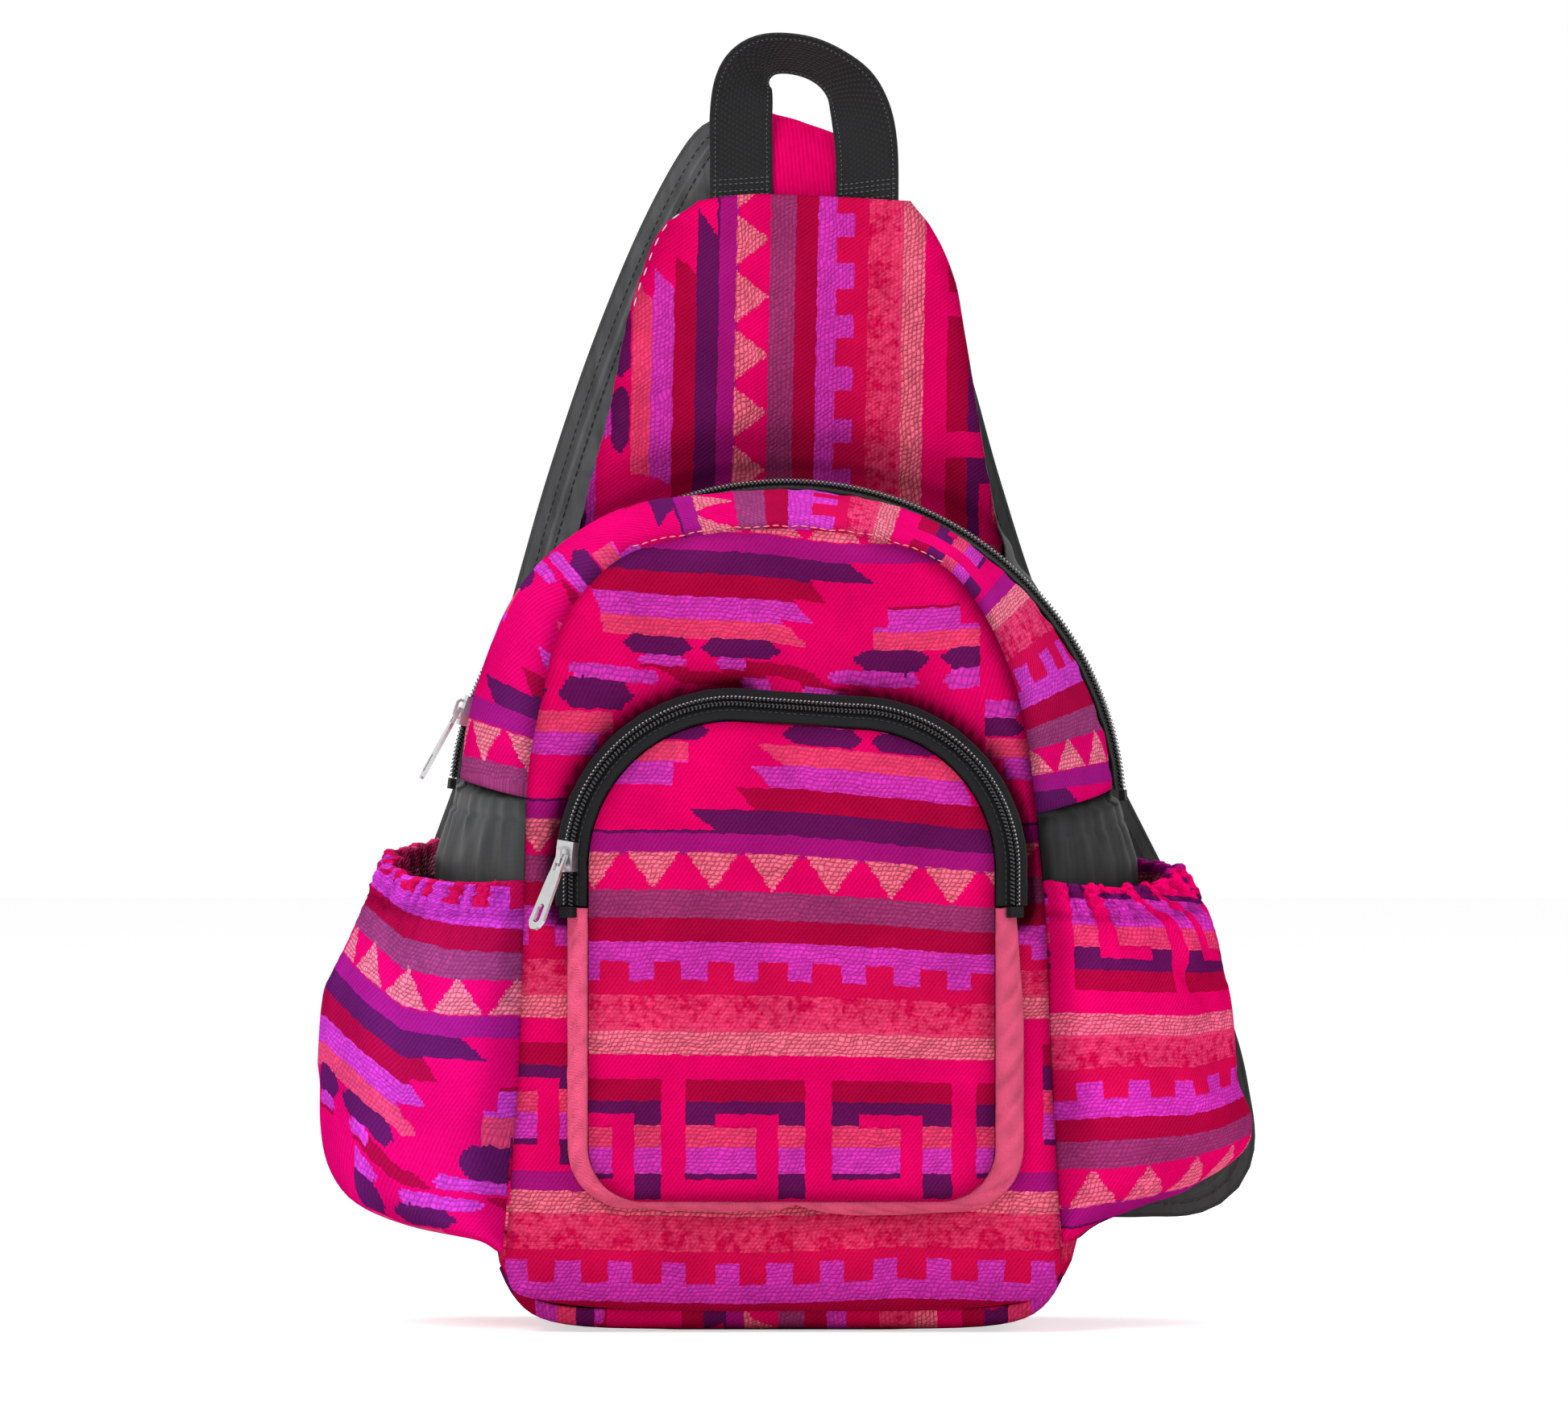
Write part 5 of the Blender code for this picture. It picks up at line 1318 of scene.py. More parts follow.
def make_pocket_face():
    loop = pocket_face_loop()
    middle_x = (POCKET_LEFT[0] + POCKET_RIGHT[0]) / 2
    aim = stack(middle_x + (loop[:, 0] - middle_x) * 0.4, np.clip(loop[:, 1], 90.0, 180.0))
    front = POCKET_PLANE - POCKET_LIP
    rise = smooth_through([(0.0, 0.0), (2.0, 2.6), (5.0, 4.4), (10.0, 5.6), (20.0, 6.3), (40.0, 6.8)], 80)
    rings = []
    runs = run_lengths(loop)
    pucker = waves((runs, 0.55, 0.0, 0.5), (runs, 0.9, 1.3, 0.35), (runs, 0.31, 0.7, 0.4))
    steps = [0.0, 0.4, 0.9, 1.5, 2.2, 3.0, 4.0, 5.2, 6.6, 8.2, 10.0, 12.5, 15.5, 19.0]
    for step, flat in inward_loops(loop, aim, steps, np.arange(1, 10) / 9.0, 21.0):
        height = np.interp(step, rise[:, 0], rise[:, 1]) + pucker * 0.45 * bell(step - 4.5, 4.5)
        rings.append(stack(flat[:, 0], front - height, flat[:, 1]))
    last = rings[-1]
    centre = np.array([middle_x, last[:, 1].mean(), 135.0])
    grid = np.array(rings + [lerp(last, centre, share) for share in (0.15, 0.3, 0.45, 0.6, 0.75, 0.9)])
    x, z = grid[..., 0], grid[..., 2]
    inner = np.clip((np.arange(len(grid))[:, None] - 8) / 8.0, 0, 1)
    drape = waves((x, 0.05, 0.4, 0.5), (z, 0.045, 1.0, 0.6), (x + z, 0.07, 0.0, 0.4),
                  (x - z * 0.6, 0.12, 2.0, 0.2))
    grid[..., 1] += inner * drape
    u, row = picture_points(grid)
    heights = [
        [878, 880, 884, 895, 904, 908],
        [883, 883, 886, 896, 905, 909],
        [891, 891, 895, 901, 909, 912],
        [893, 893, 894, 899, 905, 908],
        [894, 895, 896, 898, 901, 902],
        [892, 892, 892, 892, 892, 892],
    ]
    columns = [800, 860, 980, 1100, 1180, 1240]
    w = row - star_line(u, row, columns, [930, 1030, 1130, 1210, 1310, 1440], heights)
    # Painted shade round the edge of the face
    from_edge = np.array(steps + [30.0] * (len(grid) - len(steps)))[:, None]
    sheet("front_pocket_face_cloth", grid, "weave_pocket", (0, 0, 135), stack(u, w), closed=True,
          caps=(-1,), shade=0.3 * bell(from_edge, 4.0), slot="striped_weave",
          replaces=("front_pocket_face",))


def make_pocket_gusset():
    track, right_corner, left_corner = pocket_edge(POCKET_BAND)
    chain = spread(np.vstack([track[-1:], right_corner, left_corner, track[:1]]), 200)
    front = POCKET_PLANE - POCKET_LIP + 0.4
    foot = BODY_FRONT - FRONT_DOME - 0.4
    out = unit(chain - stack(2.0, np.clip(chain[:, 1], 75.0, 200.0)))
    side = np.abs(out[:, 0])
    more = np.where(chain[:, 0] > 0, POCKET_FLARE_RIGHT, 0.0)
    drop = np.maximum(0.0, POCKET_ZIP_FOOT - chain[:, 1])
    flare = (POCKET_FLARE + more * np.minimum(1.0, drop / 40.0)) * side
    t = np.linspace(0, 1, 16)[None]
    runs = run_lengths(chain)[:, None]
    reach = 0.5 + flare[:, None] * t ** 0.8 + 1.5 * np.sin(math.pi * t)
    slanted = runs + 14.0 * t
    creases = waves((slanted, 0.34, 0.0, 0.55), (slanted, 0.61, 1.0, 0.35), (slanted, 0.19, 2.0, 0.4))
    reach = reach + np.maximum(creases, -0.8) * np.sin(math.pi * t) * 0.8
    place = chain[:, None] + out[:, None] * reach[..., None]
    wrinkle = waves((slanted, 0.62, 0.5, 0.5), (slanted, 1.07, 2.1, 0.3), (runs - 9.0 * t, 0.37, 0.0, 0.45))
    depth = lerp(front, foot, t) - 1.5 * np.clip(wrinkle, -0.7, 1.0) * np.sin(math.pi * t)
    grid = stack(place[..., 0], depth, place[..., 1])
    grid[[0, -1], :, 2] -= SEAM
    # Painted shade beside both seams and in the hollows of the wrinkles
    shade = 0.15 * bell(t, 0.12) + 0.2 * bell(1 - t, 0.1) - 0.2 * np.minimum(wrinkle, 0)
    sheet("front_pocket_gusset_cloth", grid, "coral", (0, -70, 120), shade=shade, slot="coral_cloth",
          replaces=("front_pocket_gusset",))


# Zips


TOOTH, TOOTH_FACES = bead(6, 8)


def coil_tooth(centre, out, run, up, lean):
    """One tooth of a coil: it points out of its tape and leans along the zip."""
    points = (centre + TOOTH[:, :1] * unit(out + run * lean) * COIL_WIDTH / 2
              + TOOTH[:, 1:2] * run * COIL_PITCH * TEETH_LENGTH + TOOTH[:, 2:] * up * COIL_HEIGHT / 2)
    return points, TOOTH_FACES


def make_zip(prefix, track, tilt, depth, half, names):
    """Two tapes that ripple a little at their outer edge, and a row of teeth on each."""
    middle, across, up = tape_frame(track, tilt, depth)
    runs = run_lengths(middle)
    base = TAPE_THICKNESS / 2 + CLEAR
    for side, name in zip((-1, 1), names):
        w = np.linspace(CHAIN_SLOT, half, 9)[None, :, None] * side
        ripple = waves((runs, 0.5, 0.3 + side, 0.12), (runs, 0.83, 1.0, 0.08))[:, None, None]
        ripple = ripple * (np.abs(w) / half) ** 2
        grid = middle[:, None] + across[:, None] * w + up[:, None] * ripple
        sheet(f"{prefix}_tape_{name}_woven", grid, "tape", tuple(middle[0] - up[0] * 50),
              thickness=TAPE_THICKNESS, offset=0.0, slot="zip_tape", replaces=(f"{prefix}_tape_{name}",))
        # The teeth of one side stand half a pitch on from those of the other
        parts = []
        for k in range(int(runs[-1] // COIL_PITCH)):
            at = (k + (0.5 if side > 0 else 0.0) + 0.25) * COIL_PITCH
            place, out, above = (sampled(values, runs, at) for values in (middle, across, up))
            centre = place + out * side * (CHAIN_SLOT + COIL_WIDTH / 2) + above * (base + COIL_HEIGHT / 2)
            parts.append(coil_tooth(centre, out * side, np.cross(above, out), above, 0.22))
        merged(f"{prefix}_coil_{name}_teeth", parts, "coil", slot="zip_coil",
               replaces=(f"{prefix}_coil_{name}",))
        line = middle + across * side * (CHAIN_SLOT + COIL_WIDTH + 0.9) + up * (TAPE_THICKNESS / 2)
        stitches(f"{prefix}_chain_stitching_{name}", line, up, length=1.6, gap=0.7, thickness=0.22,
                 slot="zip_tape")
        # Painted glints: pale beads along the crest of each coil stand in for the light the teeth catch,
        # paler on the outer and front sides
        crest = middle + across * side * (CHAIN_SLOT + 0.9) + up * (base + COIL_HEIGHT)
        stitches(f"{prefix}_coil_glints_{name}", crest, up, length=0.7, gap=0.8, thickness=0.26,
                 kind="painted_glint" if name in ("outer", "front") else "grey_thread_and_glint", slot="zip_coil")


def make_zip_guard():
    """A strip of dark nylon inside the bag, behind the main zip, darkened further with painted shade."""
    middle, across, up = tape_frame(main_track(3.0), MAIN_TILT, MAIN_ARC_Y)
    w = np.linspace(-GUARD_HALF_WIDTH, GUARD_HALF_WIDTH, 7)[None, :, None]
    grid = middle[:, None] + across[:, None] * w - up[:, None] * GUARD_DEPTH
    sheet("main_zip_guard", grid, "nylon", (0, 0, 190), thickness=GUARD_THICKNESS, shade=0.75,
          slot="black_nylon")


# Side pockets


def pocket_profile(sign, level):
    """How far a side pocket swells out, and its height, at levels from 0 (foot) to 1 (rim)."""
    chain = smooth_through(POCKET_SWELL[sign], SWELL_STEPS + 1)
    return sampled(chain, np.arange(SWELL_STEPS + 1), level * SWELL_STEPS)


def pocket_wall(sign, u, level, inward, drop):
    """Points of a side pocket's wall, with u from front to back.

    A place in the hem is at the rim's level, some way inward and down.
    """
    profile = pocket_profile(sign, level)
    swell, height = profile[:, :1], profile[:, 1:]
    inward, drop = inward[:, None], drop[:, None]
    u = u[None]
    t = lerp(0.002, 1.0 - POCKET_MARGIN, 0.5 - 0.5 * np.cos(math.pi * u))
    round_off = np.sin(math.pi * u)
    off = lerp(0.25, POCKET_OFF, np.clip(u / 0.07, 0, 1))
    rise = height / POCKET_RIM
    z = height + rise**2 * lerp(RIM_FRONT, RIM_BACK[sign], u)
    z = z - RIM_DIP * rise**4 * np.sin(math.pi * np.minimum(1.0, u * 1.6))
    base = side_surface(sign, np.broadcast_to(t, z.shape), z)
    out = off + swell * round_off**0.6
    near = np.maximum(0.0, 1.0 - (POCKET_RIM - height) / GATHER_REACH)
    out = out + GATHER_DEPTH * near * np.cos(2 * math.pi * POCKET_GATHERS * u) * round_off**0.5
    from_rim = POCKET_RIM - height
    slack = np.clip(from_rim / 12.0, 0, 1) * np.clip(u * 30, 0, 1) * np.clip((1 - u) * 30, 0, 1)
    bent = u + waves((u, 31.0, 1.0 + sign, 0.006), (u, 53.0, 2.0, 0.004))
    ruffle = waves((bent, 2 * math.pi * 21, 0.4 + sign, 0.9), (bent, 2 * math.pi * 36, 1.0, 0.8),
                   (bent, 2 * math.pi * 13, 2.0, 0.6), (bent, 2 * math.pi * 51, 0.5, 0.35))
    out = out + 1.35 * ruffle * np.exp(-from_rim / 13.0) * round_off**0.5 * (0.5 + 0.5 * slack)
    out = out - bell(from_rim - HEM, 1.3) * round_off**0.5
    facing = unit(stack(sign * (round_off + 0.25), -1.1 * np.cos(math.pi * u), 0.0))
    point = base - facing * inward[..., None]
    point[..., 0] += sign * out
    point[..., 2] -= drop
    front = edge_depth(z) + SEAM
    beside = side_surface(sign, np.clip((point[..., 1] - front) / (BACK_SEAM - front), 0.0, 1.0), z)
    point[..., 0] = sign * np.maximum(sign * point[..., 0], sign * beside[..., 0] + off)
    return point


def make_side_pocket(sign):
    """A gathered pocket whose hem folds in over its elastic."""
    u = np.linspace(0, 1, 300)
    flap = HEM_FOLD + POCKET_CLOTH / 2
    fold_path = smooth_through([(0.0, 0.0), (0.3, -0.8), (1.5, -1.3), (flap, -0.9), (flap + 0.5, 0.5),
                                (flap + 0.5, HEM)], 14)[1:]
    level = np.r_[1 - (1 - np.linspace(0, 1, WALL_ROWS)) ** 1.5, np.ones(len(fold_path))]
    inward, drop = np.vstack([np.zeros((WALL_ROWS, 2)), fold_path]).T
    grid = pocket_wall(sign, u, level, inward, drop)
    wall = grid[:WALL_ROWS]
    face = outward(wall, (sign * 100, 0, 100))
    if sign < 0:
        creases = [(-30, 128, -44, 84, 5, 1.6), (-6, 136, -22, 96, 6, 1.8), (12, 134, 8, 90, 6, 1.6),
                   (-48, 66, -20, 46, 5, 1.4), (30, 130, 26, 90, 6, 1.4)]
    else:
        creases = [(-34, 138, -14, 112, 4, -2.4), (-30, 144, -10, 120, 4, 1.6), (-44, 118, -34, 74, 6, 1.6),
                   (-4, 136, -10, 90, 6, 1.6), (18, 134, 14, 90, 6, 1.6), (-46, 60, -16, 50, 5, 1.4)]
    lift = creased(wall[..., 1], wall[..., 2], creases)
    lift *= np.clip(np.sin(math.pi * u[None]) * 3 - 0.4, 0, 1) * np.clip(level[:WALL_ROWS, None] * 5, 0, 1)
    from_rim = POCKET_RIM - pocket_profile(sign, level)[:, 1:]
    near_rim = from_rim[:WALL_ROWS]
    turned = 2 * math.pi * (u[None] + waves((u, 37.0, 1.0 - sign, 0.007), (u, 61.0, 0.5, 0.004))[None])
    puffs = waves((turned, 23, 0.2 + sign, 0.75), (turned, 34, 1.7, 0.5), (turned, 15, 0.4, 0.4))
    puffs = puffs + waves((turned + near_rim * 0.035, 41, 0.9, 0.4),
                          (turned - near_rim * 0.05, 29, 2.2, 0.4))
    puffs = np.clip(puffs, -1.6, 1.8) * np.clip(u * 18, 0, 1) * np.clip((1 - u) * 18, 0, 1)
    hem = np.exp(-((near_rim / 11.0) ** 4)) * 0.75 + 0.45 * np.exp(-near_rim / 22.0)
    gather = hem * (0.5 + 0.95 * puffs)
    wall += face * (lift + gather)[..., None]
    # Rows past the rim: 1 for the first one in the hem, and so on
    past_rim = np.maximum(0, np.arange(len(grid)) - WALL_ROWS + 1)[:, None]
    fade = np.clip(1 - past_rim[WALL_ROWS:] / 5.0, 0, 1)[..., None]
    grid[WALL_ROWS:] += (face[-1] * gather[-1][:, None])[None] * fade
    steps = np.linalg.norm(np.diff(wall, axis=1), axis=-1)
    runs = np.cumsum(np.concatenate([np.zeros((WALL_ROWS, 1)), steps], 1), axis=1)
    along = np.concatenate([runs, np.repeat(runs[-1:], len(fold_path), 0)]) / POINT
    column, row = picture_points(grid)
    row = np.where(past_rim > 0, row[WALL_ROWS - 1] - past_rim * 4, row)
    rows = [1100, 1160, 1250, 1330, 1400, 1450, 1500]
    if sign < 0:
        heights = [
            [1330, 1365, 1398, 1414, 1419, 1420], [1335, 1370, 1404, 1416, 1420, 1421],
            [1350, 1388, 1418, 1428, 1427, 1427], [1362, 1397, 1430, 1434, 1438, 1438],
            [1385, 1412, 1440, 1444, 1447, 1447], [1415, 1440, 1462, 1470, 1478, 1478],
            [1440, 1460, 1480, 1486, 1488, 1488],
        ]
        w = row - star_line(column, row, [400, 450, 500, 560, 620, 650], rows, heights)
        cloth_u = 650.0 - along
    else:
        heights = [
            [1672, 1672, 1674, 1676, 1680, 1690, 1690], [1671, 1671, 1674, 1676, 1679, 1685, 1685],
            [1665, 1665, 1667, 1670, 1672, 1668, 1664], [1663, 1664, 1658, 1659, 1662, 1652, 1642],
            [1660, 1660, 1657, 1656, 1654, 1645, 1626], [1662, 1661, 1661, 1656, 1646, 1632, 1612],
            [1668, 1668, 1661, 1655, 1640, 1622, 1600],
        ]
        w = star_line(column, row, [1290, 1330, 1380, 1430, 1480, 1520, 1560], rows, heights) - row
        cloth_u = -along
    cloth = stack(cloth_u, w)
    # Painted shade: at the front seam, under the hem, in the hollows of the gathers and inside the folded
    # hem
    shade = 0.4 * bell(u[None], 0.03) + 0.25 * bell(from_rim - HEM, 2.2)
    shade[:WALL_ROWS] += 0.32 * hem * np.clip(-puffs, 0, 1)
    shade = shade + np.where(past_rim > 2, 0.6, 0.0)
    # A hidden edge closes the gap at the front seam
    tuck = grid[:, :1] + np.array([-sign * 3.2, 0.5, 0])
    tuck[0] += np.array([sign * 1.6, 0, 0])
    grid = np.concatenate([tuck, grid], 1)
    cloth = np.concatenate([cloth[:, :1], cloth], 1)
    # The hidden edge is painted half dark with shade
    shade = np.concatenate([np.full((len(grid), 1), 0.5), shade], 1)
    name = SIDES[sign]
    sheet(f"side_pocket_{name}_cloth", grid, f"weave_{name}", (sign * 100, 0, 100), cloth,
          thickness=POCKET_CLOTH, shade=shade, slot="striped_weave", replaces=(f"side_pocket_{name}",))


# Straps, yoke and handle


def smooth_with(points, values, count):
    """A smooth curve through points, with a value that changes smoothly along it."""
    small = 0.01
    chain = smooth_through([(*p, v * small) for p, v in zip(points, values)], count)
    return chain[:, :3], chain[:, 3] / small


def strap_stations(sign, count=170):
    """A strap's middle, the directions to its outer edge and away from the bag, its width and its run."""
    points = [(x, y, z) for (x, z), y in zip(STRAP_PATH[sign], STRAP_DEPTHS)]
    centre, width = smooth_with(points, STRAP_WIDTHS, count)
    run = unit(np.gradient(centre, axis=0))
    edge = unit(stack(-run[:, 2], 0.0, run[:, 0])) * sign
    thick = np.cross(edge, run)
    thick = np.where(thick[:, 1:2] < 0, -thick, thick)
    trim = STRAP_TAPE_WIDTH + CLEAR
    return centre - edge * trim / 2, edge, thick, width - trim, run


def make_strap(sign):
    name = SIDES[sign]
    centre, edge, thick, width, run = strap_stations(sign)
    half_way = len(centre) // 2
    behind, within = (tuple(centre[half_way] + thick[half_way] * reach) for reach in (20, 3))
    runs = run_lengths(centre)
    s = runs[:, None]
    foam = STRAP_LINING + CLEAR
    top = foam + STRAP_FOAM + CLEAR + CLOTH
    # The lining, gathered a little towards the bag and sewn along its outer edge
    t = np.linspace(-1, 1, 30)[None]
    half = width[:, None] / 2
    gather = waves((s, 0.75, 0.0, 0.5), (s, 1.23, 1.1, 0.35), (s + 4 * t, 0.47, 0.6, 0.4))
    puff = np.clip(1 - t**2, 0, 1) ** 0.5
    height = np.clip(-0.25 * gather * puff + 0.35 * bell((1 - t) * half - 3.0, 0.8), -0.6, 0.35)
    grid = (centre[:, None] + edge[:, None] * (t * half)[..., None]
            + thick[:, None] * (height + 0.1)[..., None])
    # Painted shade: the lining darkens below its upper part, and in the hollows of its gathers
    shade = 0.65 * np.clip((190.0 - grid[..., 2]) / 60.0, 0, 1) + 0.3 * np.clip(-gather, 0, 1) * puff
    sheet(f"strap_lining_{name}_cloth", grid, "strap_nylon", behind, thickness=STRAP_LINING, shade=shade,
          slot="black_nylon", replaces=(f"strap_lining_{name}",))
    line = centre + edge * (width / 2 - 3.0)[:, None] + thick * 0.2
    stitches(f"strap_stitching_{name}", line, -thick, length=2.4, gap=0.9, thickness=0.3,
             slot="black_nylon")
    # The padded outer side: the striped weave drawn round the foam
    angle = np.linspace(0, math.pi, 34)[None]
    body = top - foam
    out_w = np.sign(np.cos(angle)) * np.abs(np.cos(angle)) ** 0.45
    out_h = np.sin(angle) ** 0.6
    crown = 0.5 * waves((s, 0.16, 0.4, 0.5), (s, 0.29, 1.4, 0.4))
    lift = foam + (body + crown * 0.5) * out_h
    across = out_w * half
    grid = centre[:, None] + edge[:, None] * across[..., None] + thick[:, None] * lift[..., None]
    cloth = stack(across / POINT, s / POINT)
    cover = sheet(f"strap_pad_{name}", grid[1:], "weave_plain", within, cloth[1:], slot="striped_weave",
                  replaces=(f"strap_cover_{name}", f"strap_foam_{name}"))
    # Half a zip along the outer edge
    tape = np.linspace(-1.6, CLEAR + STRAP_TAPE_WIDTH, 10)[None]
    ripple = waves((s, 0.4, 0.0, 0.1), (s, 0.7, 1.0, 0.08)) * (tape / 7.0)
    grid = (centre[:, None] + edge[:, None] * (half + tape)[..., None]
            + thick[:, None] * (STRAP_TAPE_DROP + STRAP_TAPE / 2 + ripple)[..., None])
    # Painted shade: the right strap's tape lies in shade and is much darker than the left's, and darker in
    # the crease by its stitching; it is also darker along its outer edge
    shade = (0.12 if sign < 0 else 0.66) + 0.6 * np.clip((tape - 5.6) / 1.2, 0, 1)
    shade = shade + 0.25 * bell(tape - 1.6, 0.5)
    sheet(f"strap_tape_{name}_woven", grid, "strap_nylon", behind, thickness=STRAP_TAPE, offset=0.0,
          shade=shade, slot="zip_tape", replaces=(f"strap_zip_tape_{name}",))
    line = grid[:, 4] - thick * (STRAP_TAPE / 2)
    stitches(f"strap_tape_stitching_{name}", line, -thick, length=2.2, gap=1.0, thickness=0.26,
             slot="zip_tape")
    parts = []
    base = STRAP_TAPE_DROP + STRAP_TAPE + CLEAR
    for k in range(int(runs[-1] // COIL_PITCH)):
        at = (k + 0.5) * COIL_PITCH
        place, out, above, ahead = (sampled(values, runs, at) for values in (centre, edge, thick, run))
        w = np.interp(at, runs, width) / 2 + CLEAR + STRAP_TAPE_WIDTH - COIL_WIDTH / 2
        middle = place + out * w + above * (base + COIL_HEIGHT / 2)
        parts.append(coil_tooth(middle, out, ahead, above, 0.2))
    merged(f"strap_coil_{name}_teeth", parts, "coil", slot="zip_coil",
           replaces=(f"strap_zip_coil_{name}",))


def make_webbing(name, centre, wide, thin, replaces, round_steps=5):
    """A band of webbing with rounded edges along a path."""
    half_thick = WEBBING_THICKNESS / 2
    flat = WEBBING / 2 - half_thick
    section = []
    for side in (1, -1):
        for k in range(round_steps + 1):
            a = math.radians(-90 + 180 * k / round_steps)
            section.append((side * (flat + half_thick * math.cos(a)), side * half_thick * math.sin(a)))
        for k in range(1, 12):
            section.append((side * lerp(flat, -flat, k / 12), side * half_thick))
    section = np.array(section)
    grid = centre[:, None] + wide[:, None] * section[None, :, :1] + thin[:, None] * section[None, :, 1:]
    around = np.r_[section[:, 0], section[0, 0]]
    cloth = stack(around[None] / POINT, run_lengths(centre)[:, None] / POINT)
    mesh = grid_mesh(name, grid, cloth, closed=True, caps=(0, -1))
    new_object(name, mesh, "webbing", slot="black_webbing", replaces=(replaces,))


def make_handle():
    count = 170
    centre, turns = smooth_with(HANDLE_PATH, HANDLE_TURNS, count)
    run = unit(np.gradient(centre, axis=0))
    flat = unit(stack(run[:, 2], 0.0, -run[:, 0]))
    a = np.radians(turns)[:, None]
    wide = flat * np.cos(a) + np.cross(run, flat) * np.sin(a)
    thin = np.cross(run, wide)
    make_webbing("carry_handle_webbing", centre, wide, thin, "carry_handle")
    front = np.where(thin[:, 1:2] > 0, -thin, thin)
    across = np.linspace(-HANDLE_SEAM_HALF, HANDLE_SEAM_HALF, 24)[:, None]
    # The rows of stitches at each foot: the right ones are lower and slope the other way
    feet = (("left", slice(0, count // 2), 0.0, 0.06), ("right", slice(count // 2, count), 1.0, -0.12))
    for foot, near, lower, lean in feet:
        for k, height in enumerate(HANDLE_SEAMS):
            at = near.start + int(np.argmin(np.abs(centre[near, 2] - (height - lower))))
            slope = np.array([0, 0, 1.0]) * (across * lean)
            path = centre[at] + wide[at] * across + slope + front[at] * 0.85
            stitches(f"handle_stitching_{foot}_{k}", path, np.repeat(front[at][None], 24, 0), length=1.3,
                     gap=0.7, thickness=0.3, kind="grey_thread_and_glint", slot="black_webbing")
    for k, side in enumerate((-HANDLE_EDGE, HANDLE_EDGE)):
        stitches(f"handle_edge_thread_{k}", centre + wide * side + front * 0.82, front, length=0.9, gap=0.9,
                 thickness=0.26, kind="grey_thread_and_glint", slot="black_webbing")


def make_tab(sign, count=24):
    """The webbing that joins a strap's lower end to the back."""
    face = BODY_BACK + CLEAR + WEBBING_THICKNESS / 2
    x = np.linspace(sign * TAB_START, sign * TAB_END, count)
    centre = stack(x, face, TAB_FOOT[sign] + WEBBING / 2)
    wide = np.tile([0.0, 0.0, 1.0], (count, 1))
    thin = np.tile([0.0, 1.0, 0.0], (count, 1))
    make_webbing(f"strap_tab_{SIDES[sign]}_webbing", centre, wide, thin, f"strap_tab_{SIDES[sign]}")


def make_yoke():
    """The cloth folded over the tops of the straps, whose fold slopes down to the right."""
    heights = [z for _, z in YOKE_FOLD]
    foot = min(heights)
    rise = max(heights) - foot
    path = smooth_through(YOKE_FOLD, 60)
    x = np.linspace(YOKE_LEFT, YOKE_LEFT + YOKE_WIDTH, 60)[None]
    share = ((path[:, 1] - foot) / rise)[:, None]
    z = path[:, 1:] + share * (YOKE_LIFT - YOKE_SLOPE * np.maximum(x, YOKE_LEVEL))
    grid = stack(x, path[:, :1], z)
    face = outward(grid, (0, 63.5, 430))
    edge = np.minimum(x - YOKE_LEFT, YOKE_LEFT + YOKE_WIDTH - x)
    lift = waves((x, 0.3, 0.0, 0.3), (x + path[:, :1], 0.5, 1.0, 0.2)) + seam_roll(edge, 0.5)
    grid = grid + face * (lift * 0.6)[..., None]
    cloth = stack(x / POINT, 408.0 + run_lengths(path)[:, None] * 0.45)
    sheet("strap_yoke_cloth", grid, "weave_plain", (0, 63.5, 430), cloth, slot="striped_weave",
          replaces=("strap_yoke",))


# Plain nodes that keep their solids


def finish_plain():
    kinds = {
        "foam": ["back_pad"],
        "nylon": ["back_lining"],
        "elastic": [f"side_pocket_elastic_{side}" for side in SIDES.values()],
        "metal": ["main_slider", "main_pull", "pocket_slider", "pocket_pull"],
        "tape": [f"{prefix}_zip_stop_{side}" for prefix in ("main", "pocket") for side in SIDES.values()],
    }
    for kind, names in kinds.items():
        for name in names:
            obj = bpy.data.objects[name]
            for slot in obj.material_slots:
                slot.material = KINDS[kind]
            if not obj.material_slots:
                obj.data.materials.append(KINDS[kind])


# Floor, light and camera


FLOOR_REACH = 9.0
PAPER = (0.85, 0.85, 0.85, 1.0)
PAPER_GLOW = 0.62
WORLD_LIGHT = 0.42
LAMP_AIM = (0, 0, 0.22)
# Each lamp's place, its size and its power
LAMPS = {
    "key": ((-1.3, -2.2, 2.3), 1.4, 57.0),
    "fill": ((1.9, -2.4, 1.2), 1.6, 21.0),
    "top": ((0.2, 0.6, 2.6), 1.4, 24.0),
}
CAMERA_DISTANCE = 4.0
CAMERA_PLACE = (-0.0021, -0.04 - CAMERA_DISTANCE, 0.23295)
VIEW_WIDTH = 0.5838  # metres across the picture, at the bag's front


def linked(name, data):
    """A new object in the scene."""
    obj = bpy.data.objects.new(name, data)
    bpy.context.scene.collection.objects.link(obj)
    return obj


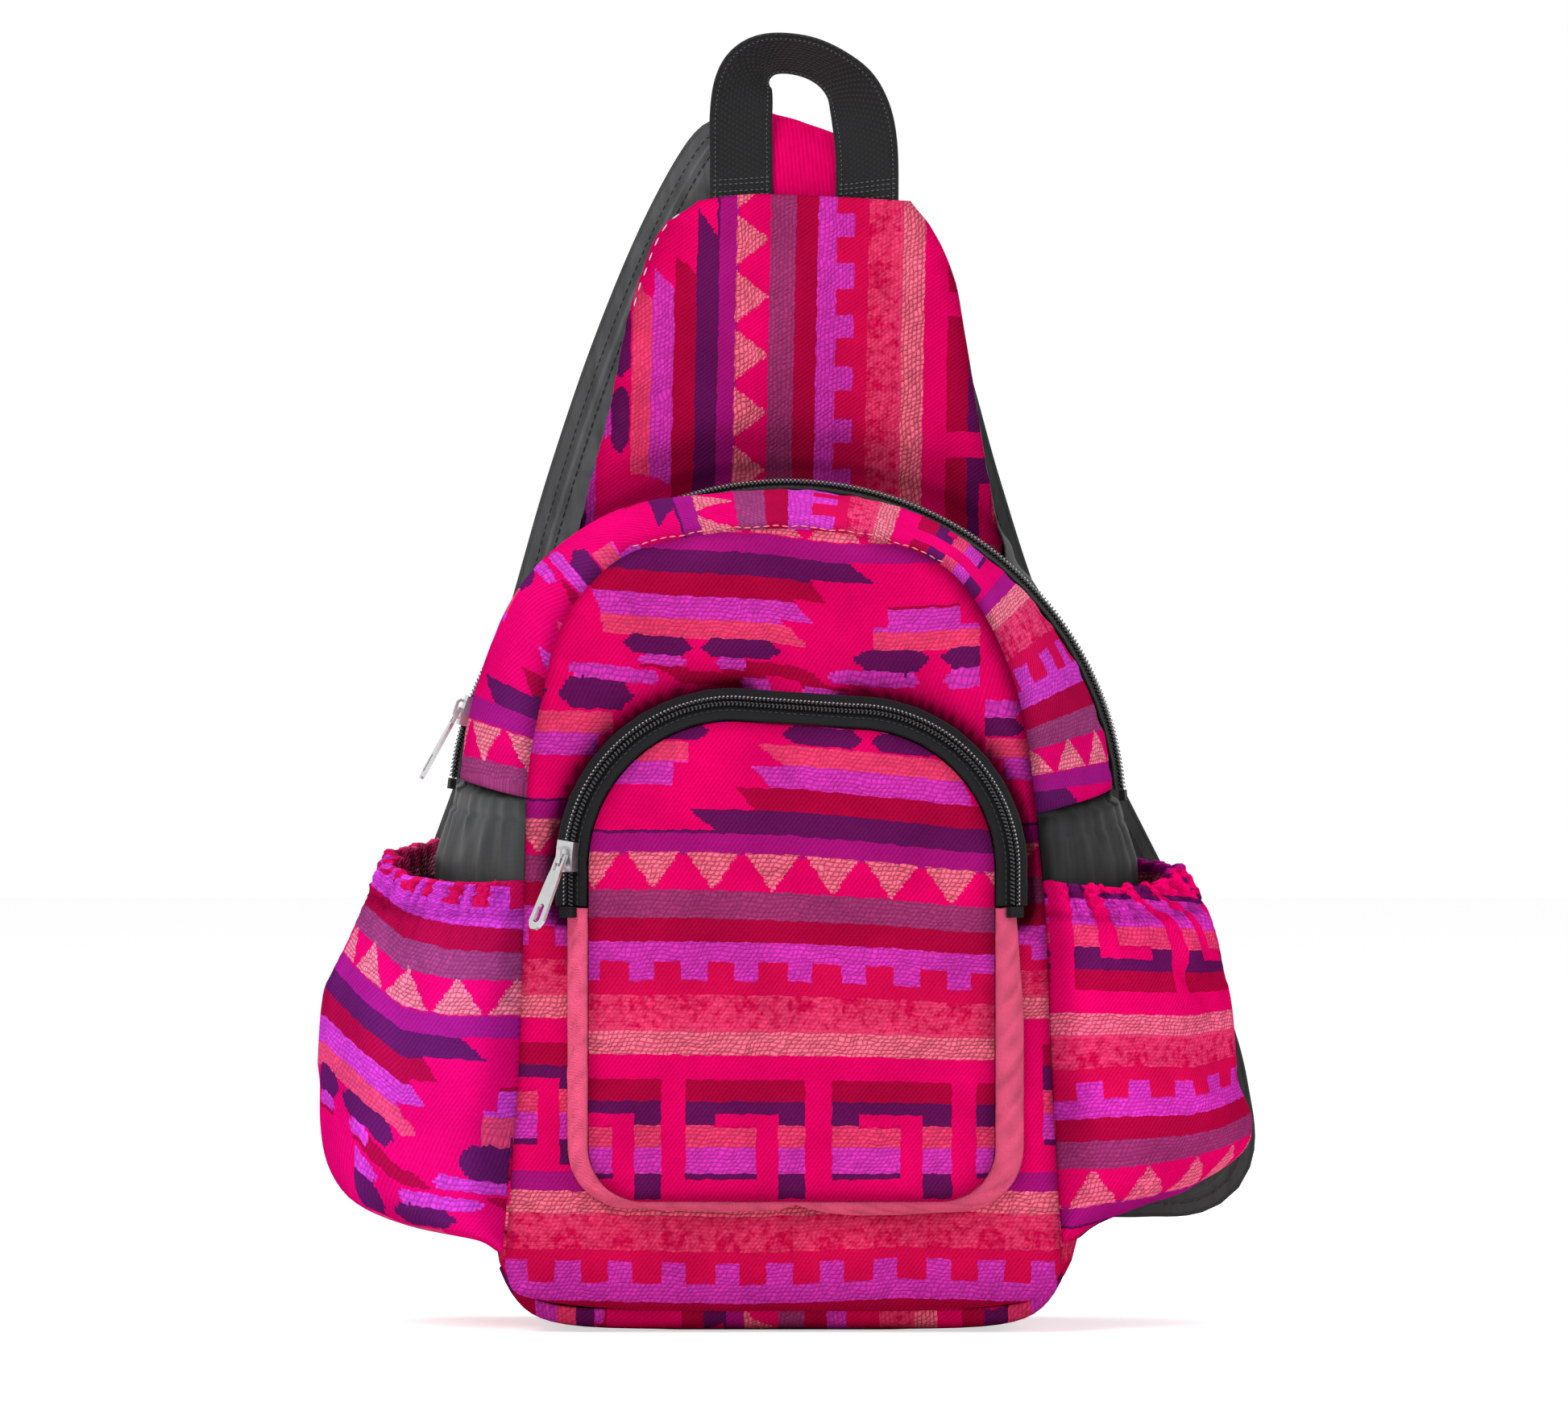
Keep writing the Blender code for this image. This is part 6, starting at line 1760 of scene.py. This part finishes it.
def make_floor():
    """White paper that looks evenly white and still takes shadows."""
    mesh = bpy.data.meshes.new("studio_floor")
    corners = [(-1, -1), (1, -1), (1, 1), (-1, 1)]
    mesh.from_pydata([(x * FLOOR_REACH, y * FLOOR_REACH, 0) for x, y in corners], [], [(0, 1, 2, 3)])
    floor = linked("studio_floor", mesh)
    made = bpy.data.materials.new("studio_white")
    made.use_nodes = True
    t = Tree(made.node_tree)
    nodes = made.node_tree.nodes
    nodes.remove(nodes["Principled BSDF"])
    paper = t.node("ShaderNodeBsdfDiffuse")
    paper.inputs[0].default_value = PAPER
    glow = t.node("ShaderNodeEmission")
    t.fill(glow, Strength=t.seen_directly() * PAPER_GLOW)
    both = t.node("ShaderNodeAddShader")
    t.put(paper.outputs[0], both.inputs[0])
    t.put(glow.outputs[0], both.inputs[1])
    t.put(both.outputs[0], nodes["Material Output"].inputs[0])
    mesh.materials.append(made)


def make_world():
    """A plain even light that shows as white where it is seen."""
    world = bpy.data.worlds.new("studio")
    bpy.context.scene.world = world
    world.use_nodes = True
    t = Tree(world.node_tree)
    background = world.node_tree.nodes["Background"]
    t.fill(background, Color=(1.0, 1.0, 1.0, 1.0),
           Strength=WORLD_LIGHT + t.seen_directly() * (1.0 - WORLD_LIGHT))


def make_lamps():
    for name, (place, size, power) in LAMPS.items():
        light = bpy.data.lights.new(name, "AREA")
        light.size = size
        light.energy = power
        obj = linked(name, light)
        obj.location = place
        aim = Vector(LAMP_AIM) - Vector(place)
        obj.rotation_euler = aim.to_track_quat("-Z", "Y").to_euler()


def make_camera():
    camera = bpy.data.cameras.new("camera")
    camera.sensor_width = 36.0
    camera.lens = camera.sensor_width * CAMERA_DISTANCE / VIEW_WIDTH
    camera.clip_end = 50.0
    obj = linked("camera", camera)
    obj.location = CAMERA_PLACE
    obj.rotation_euler = (math.radians(90), 0, 0)
    bpy.context.scene.camera = obj
    bpy.context.scene.view_settings.view_transform = "Standard"


def build():
    make_front_panel()
    make_main_gusset()
    make_neck()
    make_back()
    make_bottom()
    for sign in SIDES:
        make_side_panel(sign)
        make_rear_gusset(sign)
        make_side_pocket(sign)
        make_strap(sign)
        make_tab(sign)
    make_pocket_face()
    make_pocket_gusset()
    make_zip("main_zip", main_track(), MAIN_TILT, MAIN_ARC_Y, MAIN_TAPE, ("front", "rear"))
    make_zip("pocket_zip", pocket_track(), POCKET_TILT, POCKET_PLANE, POCKET_TAPE, ("inner", "outer"))
    make_zip_guard()
    make_handle()
    make_yoke()
    finish_plain()
    make_floor()
    make_world()
    make_lamps()
    make_camera()


build()
bpy.context.view_layer.update()
